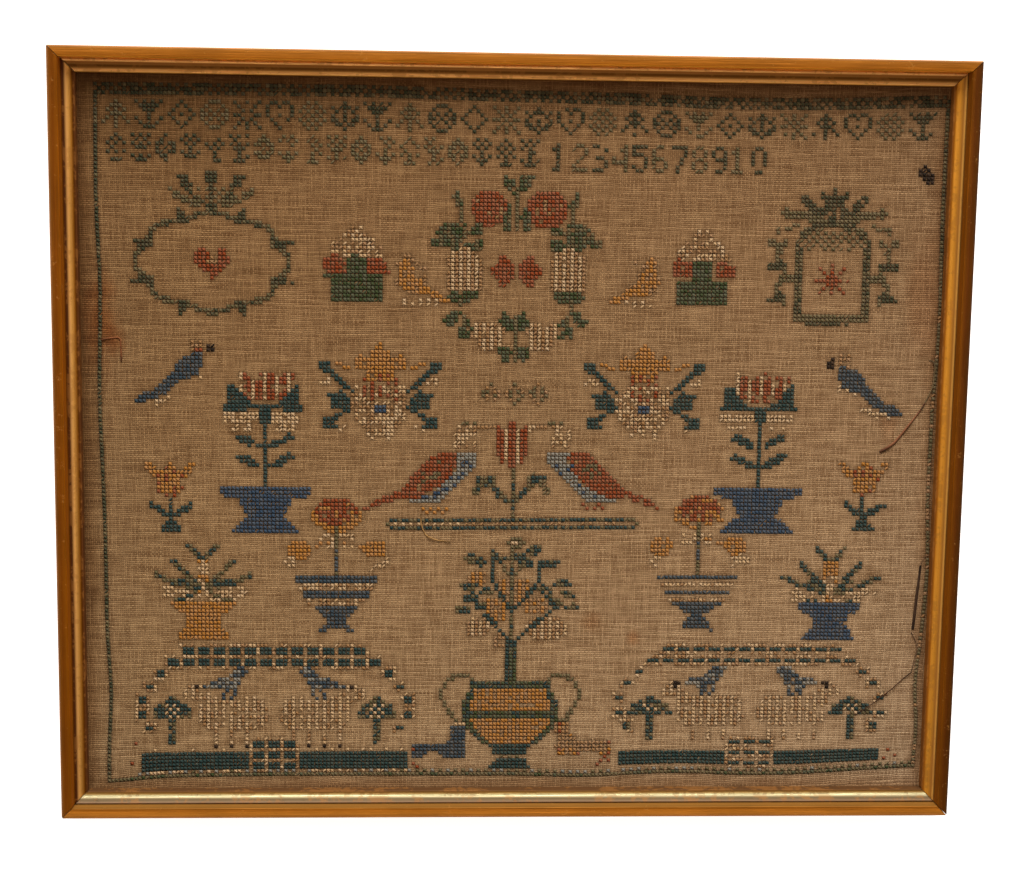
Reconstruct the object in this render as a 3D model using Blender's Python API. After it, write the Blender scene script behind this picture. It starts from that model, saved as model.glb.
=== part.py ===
"""A framed needlework sampler, lying on its back with its face up.

Four mitred rails of a thin wooden moulding stand round a sheet of woven cloth.
The sheet lies in the rails' rebate, on a plain back board. Lengths are in metres.
+X runs along the frame's width, +Y towards the top of the picture, +Z out of the face.
The origin is on the surface that the frame lies on, under the middle of the picture.
"""

import math

import bmesh
import bpy
import numpy as np

# The frame, measured over its outer edges
FRAME_WIDTH = 0.4200
FRAME_HEIGHT = 0.3555
FRAME_DEPTH = 0.0180

# The clearance between pieces that touch
CLEARANCE = 0.0003

# The moulding's section: places inward from the outer edge, heights from the back
CAP_INNER_EDGE = 0.0049
CAP_FOOT = 0.0053
CAP_OUTER_ROUND = 0.0007
CAP_INNER_ROUND = 0.0004
CAP_CROWN = 0.00005
QUIRK_FLOOR = 0.0127
RIDGE_MIDDLE = 0.0061
RIDGE_HALF_WIDTH = 0.0006
RIDGE_FOOT = 0.0130
RIDGE_RISE = 0.0004
SCOOP_START = 0.0069
SCOOP_START_HEIGHT = 0.0129
SCOOP_END = 0.0106
SCOOP_END_HEIGHT = 0.0119
SCOOP_SAG = 0.0009
SIGHT_EDGE = 0.0113
SIGHT_ROUND = 0.0004
REBATE_WALL = 0.0060
REBATE_SHELF = 0.0070

# The cloth and the board behind it
CLOTH_THICKNESS = 0.0010
CLOTH_SWELL = 0.0006
CLOTH_CELL = 0.0125
CLOTH_FLAT_RIM = 0.0060
BOARD_THICKNESS = 0.0030

# Waves in the stretched cloth: crests across, crests up, phase in turns, share of the swell
CLOTH_WAVES = (
    {"across": 1.0, "up": 0.6, "phase": 0.10, "share": 0.45},
    {"across": 2.3, "up": 1.1, "phase": 0.37, "share": 0.30},
    {"across": 0.7, "up": 3.1, "phase": 0.61, "share": 0.25},
)

# Colours, linear RGB
WOOD_COLOUR = (0.296, 0.115, 0.018)
CLOTH_COLOUR = (0.300, 0.178, 0.088)
BOARD_COLOUR = (0.230, 0.150, 0.090)


def clear_scene():
    """Removes every object that the file opened with."""
    for old in list(bpy.data.objects):
        bpy.data.objects.remove(old, do_unlink=True)


def plain_material(name, colour, roughness, metallic=0.0):
    """Returns a Principled material of one colour."""
    material = bpy.data.materials.new(name)
    material.use_nodes = True
    shader = material.node_tree.nodes["Principled BSDF"]
    shader.inputs["Base Color"].default_value = (*colour, 1.0)
    shader.inputs["Roughness"].default_value = roughness
    shader.inputs["Metallic"].default_value = metallic
    return material


def add_object(name, mesh, material):
    """Puts a mesh into the scene as one named object with one material."""
    mesh.materials.append(material)
    piece = bpy.data.objects.new(name, mesh)
    bpy.context.scene.collection.objects.link(piece)
    return piece


def arc(centre, radius, start, end, steps):
    """Points on a circle's arc, from one angle to the other, in degrees."""
    turns = np.radians(np.linspace(start, end, steps + 1))
    return [
        (centre[0] + radius * math.cos(turn), centre[1] + radius * math.sin(turn))
        for turn in turns
    ]


def sagged_line(start, end, rise, steps):
    """Points from start to end, raised (or lowered, below zero) by a parabola."""
    points = []
    for share in np.linspace(0.0, 1.0, steps + 1):
        bow = 4.0 * share * (1.0 - share) * rise
        inward = start[0] + share * (end[0] - start[0])
        height = start[1] + share * (end[1] - start[1]) + bow
        points.append((inward, height))
    return points


def moulding_section():
    """The moulding's closed outline as (inward, height), from the back's outer corner."""
    outer_round = arc(
        (CAP_OUTER_ROUND, FRAME_DEPTH - CAP_CROWN - CAP_OUTER_ROUND),
        CAP_OUTER_ROUND, 180.0, 90.0, 6,
    )
    inner_round = arc(
        (CAP_INNER_EDGE - CAP_INNER_ROUND, FRAME_DEPTH - CAP_CROWN - CAP_INNER_ROUND),
        CAP_INNER_ROUND, 90.0, 0.0, 5,
    )
    crown = sagged_line(outer_round[-1], inner_round[0], CAP_CROWN, 6)
    ridge = sagged_line(
        (RIDGE_MIDDLE - RIDGE_HALF_WIDTH, RIDGE_FOOT),
        (RIDGE_MIDDLE + RIDGE_HALF_WIDTH, RIDGE_FOOT),
        RIDGE_RISE, 6,
    )
    scoop = sagged_line(
        (SCOOP_START, SCOOP_START_HEIGHT), (SCOOP_END, SCOOP_END_HEIGHT), -SCOOP_SAG, 10,
    )
    lip = arc(
        (SIGHT_EDGE - SIGHT_ROUND, SCOOP_END_HEIGHT - SIGHT_ROUND), SIGHT_ROUND, 90.0, 0.0, 4,
    )
    section = [(0.0, 0.0)]
    section += outer_round
    section += crown[1:-1]
    section += inner_round
    section += [(CAP_FOOT, QUIRK_FLOOR)]
    section += ridge
    section += scoop
    section += lip
    section += [(SIGHT_EDGE, REBATE_SHELF), (REBATE_WALL, REBATE_SHELF), (REBATE_WALL, 0.0)]
    return section


def rail_mesh(name, length, section):
    """One rail along X with its outer edge at y = 0, mitred at both ends.

    A mitre is set back so that two of them face each other across the clearance.
    """
    set_back = CLEARANCE / math.sqrt(2.0)
    shell = bmesh.new()
    ends = []
    for side in (-1.0, 1.0):
        ring = [
            shell.verts.new((side * (length / 2.0 - inward - set_back), inward, height))
            for inward, height in section
        ]
        shell.faces.new(ring)
        ends.append(ring)
    for first in range(len(section)):
        second = (first + 1) % len(section)
        shell.faces.new((ends[0][first], ends[0][second], ends[1][second], ends[1][first]))
    bmesh.ops.recalc_face_normals(shell, faces=shell.faces)
    mesh = bpy.data.meshes.new(name)
    shell.to_mesh(mesh)
    shell.free()
    mesh.shade_smooth()
    mesh.set_sharp_from_angle(angle=math.radians(35.0))
    return mesh


def add_rails():
    """The four rails, each turned to its own side of the frame."""
    wood = plain_material("stained_wood", WOOD_COLOUR, 0.45)
    section = moulding_section()
    half_width = FRAME_WIDTH / 2.0
    half_height = FRAME_HEIGHT / 2.0
    sides = (
        {"name": "rail_bottom", "length": FRAME_WIDTH, "place": (0.0, -half_height), "turn": 0.0},
        {"name": "rail_right", "length": FRAME_HEIGHT, "place": (half_width, 0.0), "turn": 90.0},
        {"name": "rail_top", "length": FRAME_WIDTH, "place": (0.0, half_height), "turn": 180.0},
        {"name": "rail_left", "length": FRAME_HEIGHT, "place": (-half_width, 0.0), "turn": 270.0},
    )
    for side in sides:
        mesh = rail_mesh(side["name"], side["length"], section)
        rail = add_object(side["name"], mesh, wood)
        rail.location = (*side["place"], 0.0)
        rail.rotation_euler = (0.0, 0.0, math.radians(side["turn"]))


def cloth_swell(x, y):
    """How far the cloth stands above its flat place, in the open part of the frame.

    Slow cosine waves are summed and faded to nothing before the rails.
    """
    across = x / FRAME_WIDTH + 0.5
    up = y / FRAME_HEIGHT + 0.5
    wave = np.zeros_like(x)
    for row in CLOTH_WAVES:
        turns = row["across"] * across + row["up"] * up + row["phase"]
        wave += row["share"] * 0.5 * (1.0 + np.cos(2.0 * math.pi * turns))
    to_side = FRAME_WIDTH / 2.0 - SIGHT_EDGE - np.abs(x)
    to_end = FRAME_HEIGHT / 2.0 - SIGHT_EDGE - np.abs(y)
    near = np.clip(np.minimum(to_side, to_end) / CLOTH_FLAT_RIM - 1.0, 0.0, 1.0)
    fade = near * near * (3.0 - 2.0 * near)
    return CLOTH_SWELL * wave * fade


def grid_shell_faces(columns, rows):
    """Faces of a sheet whose upper and lower grids have the same rows and columns."""
    upper = np.arange(columns * rows).reshape(rows, columns)
    lower = upper + columns * rows
    faces = []
    for row in range(rows - 1):
        for column in range(columns - 1):
            corners = [(row, column), (row, column + 1), (row + 1, column + 1), (row + 1, column)]
            faces.append([int(upper[corner]) for corner in corners])
            faces.append([int(lower[corner]) for corner in reversed(corners)])
    rim = [(0, column) for column in range(columns)]
    rim += [(row, columns - 1) for row in range(1, rows)]
    rim += [(rows - 1, column) for column in range(columns - 2, -1, -1)]
    rim += [(row, 0) for row in range(rows - 2, 0, -1)]
    for first, second in zip(rim, rim[1:] + rim[:1]):
        faces.append([int(lower[first]), int(lower[second]), int(upper[second]), int(upper[first])])
    return faces


def add_cloth():
    """The worked sheet: it fills the rebate and swells a little in the open part."""
    top = REBATE_SHELF - CLEARANCE
    width = FRAME_WIDTH - 2.0 * (REBATE_WALL + CLEARANCE)
    height = FRAME_HEIGHT - 2.0 * (REBATE_WALL + CLEARANCE)
    columns = round(width / CLOTH_CELL) + 1
    rows = round(height / CLOTH_CELL) + 1
    x, y = np.meshgrid(
        np.linspace(-width / 2.0, width / 2.0, columns),
        np.linspace(-height / 2.0, height / 2.0, rows),
    )
    face = top + cloth_swell(x, y)
    upper = np.stack([x, y, face], axis=-1).reshape(-1, 3)
    lower = np.stack([x, y, face - CLOTH_THICKNESS], axis=-1).reshape(-1, 3)
    mesh = bpy.data.meshes.new("sampler_cloth")
    mesh.from_pydata(np.vstack([upper, lower]).tolist(), [], grid_shell_faces(columns, rows))
    mesh.shade_smooth()
    mesh.set_sharp_from_angle(angle=math.radians(35.0))
    add_object("sampler_cloth", mesh, plain_material("linen", CLOTH_COLOUR, 0.95))


def add_board():
    """The plain board that backs the cloth, set in from the rails' back faces."""
    top = REBATE_SHELF - CLOTH_THICKNESS - 2.0 * CLEARANCE
    shell = bmesh.new()
    bmesh.ops.create_cube(shell, size=1.0)
    bmesh.ops.scale(
        shell,
        verts=shell.verts,
        vec=(
            FRAME_WIDTH - 2.0 * (REBATE_WALL + CLEARANCE),
            FRAME_HEIGHT - 2.0 * (REBATE_WALL + CLEARANCE),
            BOARD_THICKNESS,
        ),
    )
    mesh = bpy.data.meshes.new("backing_board")
    shell.to_mesh(mesh)
    shell.free()
    board = add_object("backing_board", mesh, plain_material("board", BOARD_COLOUR, 0.85))
    board.location = (0.0, 0.0, top - BOARD_THICKNESS / 2.0)


clear_scene()
add_rails()
add_cloth()
add_board()
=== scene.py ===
import math

import bpy
import numpy as np
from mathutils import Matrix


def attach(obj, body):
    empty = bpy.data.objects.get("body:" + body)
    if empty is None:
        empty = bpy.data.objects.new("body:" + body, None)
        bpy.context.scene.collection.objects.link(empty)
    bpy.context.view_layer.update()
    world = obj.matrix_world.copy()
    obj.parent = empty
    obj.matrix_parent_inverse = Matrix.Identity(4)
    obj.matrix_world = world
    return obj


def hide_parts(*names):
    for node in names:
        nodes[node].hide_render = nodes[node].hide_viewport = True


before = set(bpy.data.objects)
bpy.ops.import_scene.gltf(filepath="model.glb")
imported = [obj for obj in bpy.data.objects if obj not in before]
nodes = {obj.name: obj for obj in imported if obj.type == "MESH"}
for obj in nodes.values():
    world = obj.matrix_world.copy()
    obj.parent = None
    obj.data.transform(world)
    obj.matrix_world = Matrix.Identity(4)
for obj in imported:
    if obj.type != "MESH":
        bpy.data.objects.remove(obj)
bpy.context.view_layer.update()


# The viewpoint
# The frame lies on its back, and the viewer stands over it, a little above and left of its middle.
viewpoint = bpy.data.cameras.new("viewpoint")
viewpoint.sensor_width = 36.0
viewpoint.lens = 66.247
viewpoint.clip_start = 0.05
viewpoint.clip_end = 30.0
viewer = bpy.data.objects.new("viewpoint", viewpoint)
viewer.location = (-0.0476, 0.1280, 0.8707)
viewer.rotation_euler = (math.radians(-8.284), math.radians(-2.912), math.radians(0.825))
bpy.context.scene.collection.objects.link(viewer)
bpy.context.scene.camera = viewer
bpy.context.scene.view_settings.view_transform = "Standard"


# The floor and the lights
# A white studio floor that glows a little, so that it stays white in the shadows. One long
# soft lamp stands low beyond the picture's top edge and throws the top rail's shadow on the
# cloth. Weak warm ones stand overhead, and low at the two sides and at the lower edge.
HALF_FLOOR = 3.0
FLOOR_GLOW = 0.8
WARM_LIGHT = (1.0, 0.80, 0.60)
ROOM_TINT = (1.0, 0.84, 0.68, 1.0)
ROOM_STRENGTH = 0.09

# Each lamp's name, place, size, power in watts and share of the warm tint
LAMPS = (
    ("window_light", (0.0, 3.55, 1.75), (3.2, 1.75), 308.0, 0.0),
    ("high_light", (0.0, 1.17, 2.2), (0.8, 0.5), 6.0, 0.6),
    ("overhead_light", (0.0, 0.25, 2.4), (0.7, 0.4), 6.0, 0.5),
    ("left_glow", (-1.8, 0.0, 0.42), (0.8, 0.5), 9.0, 1.0),
    ("right_glow", (1.8, 0.0, 0.42), (0.8, 0.5), 9.0, 1.0),
    ("near_glow", (0.0, -1.8, 0.46), (1.2, 0.5), 7.0, 1.0),
)


class Value:
    """A shader output that sums can be written with: each step adds one Math node."""

    def __init__(self, socket):
        self.socket = socket
        self.tree = socket.id_data

    def math(self, operation, other=0.0):
        node = add_node(self.tree, "Math", {0: self, 1: other}, operation=operation)
        return Value(node.outputs[0])

    def __add__(self, other):
        return self.math("ADD", other)

    def __mul__(self, other):
        return self.math("MULTIPLY", other)

    def __sub__(self, other):
        return self.math("SUBTRACT", other)

    def __rsub__(self, other):
        return self * -1.0 + other


def plug(node, inputs):
    """Sets a node's inputs: each is a plain number or colour, or a Value that is linked to it."""
    for key, source in inputs.items():
        if isinstance(source, Value):
            node.id_data.links.new(source.socket, node.inputs[key])
        else:
            node.inputs[key].default_value = source


def add_node(tree, kind, inputs=None, **settings):
    """One shader node with its settings and inputs."""
    node = tree.nodes.new("ShaderNode" + kind)
    for setting, choice in settings.items():
        setattr(node, setting, choice)
    plug(node, inputs or {})
    return node


def new_material(name):
    """An empty node material: its node tree, its Principled shader and the material itself."""
    material = bpy.data.materials.new(name)
    material.use_nodes = True
    tree = material.node_tree
    return tree, tree.nodes["Principled BSDF"], material


def new_group(name, inputs, outputs):
    """An empty node group, the Values of its inputs by name, and its output node.

    inputs and outputs give each socket's kind by its name.
    """
    group = bpy.data.node_groups.new(name, "ShaderNodeTree")
    for sockets, direction in ((inputs, "INPUT"), (outputs, "OUTPUT")):
        for title, kind in sockets.items():
            group.interface.new_socket(title, in_out=direction, socket_type="NodeSocket" + kind)
    given = group.nodes.new("NodeGroupInput").outputs
    return group, {title: Value(given[title]) for title in inputs}, group.nodes.new("NodeGroupOutput")


def use_group(tree, group, inputs):
    """Adds a node group with its inputs, and gives the Values of its outputs by name."""
    node = add_node(tree, "Group", inputs, node_tree=group)
    return {part.name: Value(part) for part in node.outputs}


def object_place(tree):
    """The place on the piece in its own metres."""
    return Value(add_node(tree, "TexCoord").outputs["Object"])


def parts_of(vector):
    """The X, Y and Z parts of a vector."""
    return [Value(part) for part in add_node(vector.tree, "SeparateXYZ", {0: vector}).outputs]


def vector_math(vector, operation, amount):
    """A vector after one Vector Math node: SCALE takes a number, the others a vector."""
    key = "Scale" if operation == "SCALE" else 1
    node = add_node(vector.tree, "VectorMath", {0: vector, key: amount}, operation=operation)
    return Value(node.outputs["Vector"])


def ramp(factor, low, high, kind="SMOOTHSTEP"):
    """Rises from 0 to 1 as the factor goes from low to high, with soft ends."""
    limits = {"Value": factor, "From Min": low, "From Max": high}
    return Value(add_node(factor.tree, "MapRange", limits, interpolation_type=kind).outputs["Result"])


def blend(first, second, factor, kind="MIX"):
    """The second colour laid over the first by the factor; a plain colour is red, green, blue."""
    tree = next(part.tree for part in (factor, first, second) if isinstance(part, Value))
    under, over = (part if isinstance(part, Value) else (*part, 1.0) for part in (first, second))
    inputs = {"Factor": factor, 6: under, 7: over}
    return Value(add_node(tree, "Mix", inputs, data_type="RGBA", blend_type=kind).outputs[2])


def grey(tone):
    """The colour that has the tone as its red, green and blue."""
    node = add_node(tone.tree, "CombineColor", {"Red": tone, "Green": tone, "Blue": tone})
    return Value(node.outputs["Color"])


def noise(vector, scale, detail=3.0, roughness=0.55):
    """Soft noise from 0 to 1 at so many patches a unit of the vector."""
    inputs = {"Vector": vector, "Scale": scale, "Detail": detail, "Roughness": roughness}
    return Value(add_node(vector.tree, "TexNoise", inputs).outputs["Fac"])


def stretched(vector, across, up, depth=1.0):
    """The vector with each axis scaled by its own amount, for marks that run one way."""
    node = add_node(vector.tree, "Mapping", {"Vector": vector, "Scale": (across, up, depth)})
    return Value(node.outputs["Vector"])


def bumped(height, strength, distance):
    """The surface's normal, tipped as if the height stood out by so many metres."""
    inputs = {"Height": height, "Strength": strength, "Distance": distance}
    return Value(add_node(height.tree, "Bump", inputs).outputs["Normal"])


def add_piece(name, mesh, material, slot=None):
    """Puts a mesh into the scene with one material; a piece of the object has a slot too."""
    mesh.materials.append(material)
    piece = bpy.data.objects.new(name, mesh)
    bpy.context.scene.collection.objects.link(piece)
    if slot:
        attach(piece, "root")
    return piece


tree, shader, floor_paint = new_material("pale_floor")
plug(shader, {
    "Base Color": (0.86, 0.86, 0.86, 1.0),
    "Roughness": 0.9,
    "Emission Color": (1.0, 1.0, 0.99, 1.0),
    "Emission Strength": FLOOR_GLOW,
})
floor_mesh = bpy.data.meshes.new("studio_floor")
floor_corners = [(x * HALF_FLOOR, y * HALF_FLOOR, 0.0) for x, y in ((-1, -1), (1, -1), (1, 1), (-1, 1))]
floor_mesh.from_pydata(floor_corners, [], [(0, 1, 2, 3)])
add_piece("studio_floor", floor_mesh, floor_paint)

for name, place, size, power, warmth in LAMPS:
    light = bpy.data.lights.new(name, "AREA")
    light.shape = "RECTANGLE"
    light.size, light.size_y = size
    light.energy = power
    light.color = [1.0 - warmth * (1.0 - part) for part in WARM_LIGHT]
    lamp = bpy.data.objects.new(name, light)
    lamp.location = place
    lamp.visible_camera = False
    bpy.context.scene.collection.objects.link(lamp)
    shine_from = lamp.location - nodes["sampler_cloth"].location
    lamp.rotation_euler = shine_from.to_track_quat("Z", "Y").to_euler()

room = bpy.data.worlds.new("room")
room.use_nodes = True
plug(room.node_tree.nodes["Background"], {"Color": ROOM_TINT, "Strength": ROOM_STRENGTH})
bpy.context.scene.world = room


# The four rails
# Thin pine moulding, stained orange-brown on its raised outer cap and brushed along its length.
# The fine ridge and the scoop inside it are gilt over brown, and the mitres are glued. Each
# rail's colours also hold painted highlights and painted shade for the way light falls on it,
# so the four rails are coloured differently.
FRAME_WIDTH = 0.4200
FRAME_HEIGHT = 0.3555
SIGHT_EDGE = 0.0113
SCUFFED = (0.550, 0.270, 0.060)
GILT_WORN = (0.330, 0.130, 0.025)
BARE_PINE = (0.420, 0.270, 0.130)
OUTER_STAIN = (0.210, 0.074, 0.012)


def brushed_lines_group():
    """Fine brushed lines along a rail: noise that is stretched a hundred times lengthwise.

    Along and Across are places on the rail in metres. Lines is a value from 0 to 1, and
    Cloud a slow change of tone along the rail.
    """
    group, given, end = new_group(
        "brushed_lines", {"Along": "Float", "Across": "Float"}, {"Lines": "Float", "Cloud": "Float"},
    )
    place = Value(add_node(group, "CombineXYZ", {"X": given["Along"], "Y": given["Across"]}).outputs[0])
    fine = noise(stretched(place, 14.0, 2600.0), 1.0, 4.0, 0.6)
    broad = noise(stretched(place, 9.0, 420.0), 1.0, 2.0, 0.5)
    cloud = noise(stretched(place, 30.0, 160.0), 1.0, 3.0, 0.6)
    plug(end, {"Lines": fine * 0.65 + broad * 0.35, "Cloud": cloud})
    return group


def rubbed_spots_group():
    """Rubbed spots: two scales of noise added, and cut off so that only the peaks remain."""
    group, given, end = new_group(
        "rubbed_spots", {"Vector": "Vector", "Scale": "Float", "Amount": "Float"}, {"Mask": "Float"},
    )
    small = noise(given["Vector"], given["Scale"], 4.0, 0.65)
    large = noise(given["Vector"], given["Scale"] * 0.18, 2.0)
    over = small + large - (1.45 - given["Amount"] * 0.6)
    plug(end, {"Mask": ramp(over, 0.0, 0.12)})
    return group


brushed_lines = brushed_lines_group()
rubbed_spots = rubbed_spots_group()


def rubbed(place, scale, amount):
    """The mask of the rubbed spots at one scale."""
    inputs = {"Vector": place, "Scale": scale, "Amount": amount}
    return use_group(place.tree, rubbed_spots, inputs)["Mask"]


def zones(inward, rows):
    """A colour ramp over the distance inward: each row is millimetres and a colour."""
    node = add_node(inward.tree, "ValToRGB", {"Fac": inward.math("DIVIDE", 0.012)})
    steps = node.color_ramp.elements
    for step, (place, *colour) in zip((steps[0], steps[1]), (rows[0], rows[-1])):
        step.position = place / 12.0
        step.color = (*colour, 1.0)
    for place, *colour in rows[1:-1]:
        steps.new(place / 12.0).color = (*colour, 1.0)
    return Value(node.outputs["Color"])


def rail_material(name, lengthwise, half_span, finish_rows, stain_and_painted_light_rows, gilt_and_painted_light_rows):
    """Stained cap, gilt ridge and scoop, brown lip, set by the distance inward.

    The distance is half the frame's span less the size of the coordinate across the rail.
    The stain and gilt rows carry painted highlights and painted shade along with the colour.
    The cap and its inner wall are told from the gilt by their height. The outer side has one
    plain stain, and the faces that don't show are bare.
    """
    tree, shader, material = new_material(name)
    place = object_place(tree)
    along, across, height = parts_of(place)
    if lengthwise == "Y":
        along, across = across, along
    inward = half_span - across.math("ABSOLUTE")
    marks = use_group(tree, brushed_lines, {"Along": along, "Across": inward + height * 0.7})

    scuffs = rubbed(place, 900.0, 0.42)
    # The stain and gilt colours include painted highlights and painted shade.
    stain_with_painted_light = blend(zones(inward, stain_and_painted_light_rows), SCUFFED, scuffs * 0.25)
    gilt_with_painted_light = blend(zones(inward, gilt_and_painted_light_rows), GILT_WORN, rubbed(place, 420.0, 0.75) * 0.35)
    on_cap = ramp(height, 0.0128, 0.0136) * ramp(inward, 0.0056, 0.0053)
    on_side = ramp(height, 0.0173, 0.0171) * ramp(inward, 0.0004, 0.0002)
    colour = blend(blend(gilt_with_painted_light, stain_with_painted_light, on_cap), OUTER_STAIN, on_side)

    finish = add_node(tree, "SeparateColor", {"Color": zones(inward, finish_rows)}).outputs
    brushing, metal, roughness = (Value(finish[part]) for part in ("Red", "Green", "Blue"))
    cloudy = ramp(marks["Cloud"], 0.30, 0.75)
    streak = (marks["Lines"] * 1.5 + 0.25) * (1.12 - cloudy * 0.28)
    colour = blend(colour, grey(streak), brushing * 0.9, "MULTIPLY")
    in_rebate = ramp(height, 0.0071, 0.0069) * ramp(inward, 0.0055, 0.0060)
    hidden = in_rebate.math("MAXIMUM", ramp(height, 0.0004, 0.0001))
    plug(shader, {
        "Base Color": blend(colour, BARE_PINE, hidden),
        "Metallic": metal * (1.0 - hidden.math("MAXIMUM", on_side)),
        "Roughness": marks["Cloud"] * 0.12 + roughness,
        "Specular IOR Level": 0.12,
        "Normal": bumped(marks["Lines"] - scuffs * 0.25, 1.0, 0.00042),
    })
    return material


# Finish by millimetres inward: depth of the brushing, metallic share, roughness
TOP_FINISH = (
    (4.8, 1.0, 0.50, 0.45), (5.3, 0.3, 0.55, 0.36), (6.5, 0.2, 0.62, 0.32), (6.9, 0.3, 0.10, 0.60),
    (9.2, 0.35, 0.20, 0.50), (9.9, 0.25, 0.62, 0.34), (11.0, 0.25, 0.64, 0.34), (11.3, 0.3, 0.3, 0.50),
)
BOTTOM_FINISH = (
    (4.8, 1.0, 0.50, 0.45), (5.1, 0.5, 0.05, 0.65), (7.9, 0.3, 0.05, 0.65), (8.3, 0.35, 0.40, 0.42),
    (8.7, 0.3, 0.66, 0.32), (9.8, 0.3, 0.66, 0.41), (10.5, 0.3, 0.20, 0.50), (11.3, 0.3, 0.0, 0.70),
)
SIDE_FINISH = (
    (4.8, 1.0, 0.50, 0.45), (5.2, 0.5, 0.10, 0.60), (6.7, 0.3, 0.20, 0.55), (7.5, 0.3, 0.30, 0.46),
    (8.3, 0.35, 0.55, 0.36), (10.2, 0.35, 0.45, 0.38), (10.8, 0.3, 0.10, 0.60), (11.3, 0.3, 0.0, 0.70),
)

# Each rail's name, the way it runs, its finish, and its stain and gilt by millimetres inward.
# The colour rows differ from rail to rail as painted light: the pale gilt rows are painted
# highlights, and the darker side caps, the right cap's dark outer edge and the dark bands in
# the top and left rails are painted shade.
RAILS_WITH_PAINTED_LIGHT = (
    ("rail_top", "X", TOP_FINISH, (
        (0.3, 0.340, 0.160, 0.060), (1.1, 0.340, 0.118, 0.012), (4.5, 0.310, 0.094, 0.004),
        (4.95, 0.950, 0.420, 0.040),
    ), (
        (5.2, 0.900, 0.460, 0.100), (6.0, 0.980, 0.620, 0.260), (6.5, 0.900, 0.480, 0.150),
        (6.9, 0.260, 0.092, 0.012), (7.7, 0.280, 0.120, 0.024), (8.2, 0.130, 0.046, 0.004),
        (8.8, 0.140, 0.050, 0.004), (9.4, 0.360, 0.160, 0.030), (10.0, 0.900, 0.490, 0.150),
        (10.9, 0.980, 0.560, 0.190), (11.1, 0.850, 0.420, 0.090), (11.3, 0.550, 0.230, 0.025),
    )),
    ("rail_bottom", "X", BOTTOM_FINISH, (
        (0.4, 0.400, 0.160, 0.030), (1.4, 0.450, 0.165, 0.022), (2.4, 0.530, 0.190, 0.018),
        (3.8, 0.400, 0.130, 0.010), (4.4, 0.250, 0.078, 0.003), (4.95, 0.200, 0.084, 0.012),
    ), (
        (5.3, 0.150, 0.070, 0.014), (6.1, 0.235, 0.145, 0.080), (6.9, 0.140, 0.090, 0.044),
        (7.4, 0.105, 0.068, 0.028), (7.9, 0.240, 0.185, 0.095), (8.3, 0.500, 0.410, 0.230),
        (8.8, 0.860, 0.800, 0.460), (9.3, 0.960, 0.840, 0.440), (9.8, 0.900, 0.640, 0.230),
        (10.4, 0.460, 0.250, 0.062), (10.8, 0.150, 0.066, 0.014), (11.3, 0.078, 0.032, 0.009),
    )),
    ("rail_left", "Y", SIDE_FINISH, (
        (0.3, 0.300, 0.150, 0.060), (1.1, 0.200, 0.062, 0.004), (2.4, 0.185, 0.048, 0.001),
        (4.6, 0.230, 0.066, 0.001), (4.95, 0.300, 0.088, 0.002),
    ), (
        (5.3, 0.300, 0.094, 0.001), (5.9, 0.070, 0.015, 0.001), (6.6, 0.056, 0.014, 0.001),
        (6.95, 0.270, 0.120, 0.030), (7.3, 0.500, 0.250, 0.075), (7.8, 0.600, 0.310, 0.080),
        (8.5, 0.560, 0.265, 0.056), (9.4, 0.350, 0.142, 0.016), (10.2, 0.130, 0.038, 0.001),
        (10.8, 0.070, 0.018, 0.001), (11.3, 0.100, 0.032, 0.005),
    )),
    ("rail_right", "Y", SIDE_FINISH, (
        (0.3, 0.070, 0.030, 0.012), (1.1, 0.085, 0.025, 0.001), (2.8, 0.112, 0.028, 0.001),
        (4.4, 0.165, 0.047, 0.001), (4.95, 0.200, 0.062, 0.001),
    ), (
        (5.4, 0.260, 0.110, 0.016), (6.1, 0.500, 0.250, 0.050), (6.5, 0.450, 0.210, 0.040),
        (6.9, 0.260, 0.108, 0.015), (7.4, 0.360, 0.155, 0.020), (8.0, 0.520, 0.220, 0.022),
        (8.8, 0.700, 0.300, 0.034), (9.5, 0.720, 0.305, 0.034), (10.2, 0.420, 0.150, 0.010),
        (10.8, 0.180, 0.053, 0.003), (11.3, 0.170, 0.058, 0.008),
    )),
)
# Each rail takes its own colour rows, with painted highlights and painted shade included.
for name, lengthwise, finish, stain_with_painted_light, gilt_with_painted_light in RAILS_WITH_PAINTED_LIGHT:
    half_span = (FRAME_HEIGHT if lengthwise == "X" else FRAME_WIDTH) / 2.0
    material = rail_material(name + "_stain_gilt_and_painted_light", lengthwise, half_span, finish, stain_with_painted_light, gilt_with_painted_light)
    for slot in nodes[name].material_slots:
        slot.material = material


# The back board
# Plain grey-brown fibre board that holds the linen flat in the rebate. It doesn't show from the front.
tree, shader, board_paper = new_material("fibre_board")
place = object_place(tree)
fibres = noise(stretched(place, 900.0, 260.0, 260.0), 1.0, 5.0, 0.7)
mottle = ramp(noise(place, 26.0, 4.0, 0.6), 0.45, 0.75)
tone = blend((0.150, 0.098, 0.058), (0.300, 0.205, 0.128), fibres)
tone = blend(tone, (0.185, 0.120, 0.070), mottle)
tone = blend(tone, (0.110, 0.058, 0.026), rubbed(place, 160.0, 0.35) * 0.5)
plug(shader, {"Base Color": tone, "Roughness": 0.9, "Normal": bumped(fibres, 0.5, 0.0002)})
for slot in nodes["backing_board"].material_slots:
    slot.material = board_paper


# The stitch chart
# Cross stitch is worked by counting: one cross over two threads each way, 1.83 mm square.
# The chart holds one thread colour for each square, counted from the middle of the picture.
STITCH = 0.00183
THREADS = (
    "green", "olive", "moss", "sage", "blue", "slate", "mist", "cream", "tan", "gold", "rust", "black",
)
column, row = np.meshgrid(np.arange(-110, 111), np.arange(-92, 93))
chart = np.zeros(column.shape, int)
worn_away = np.random.default_rng(11).random(column.shape)


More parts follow.
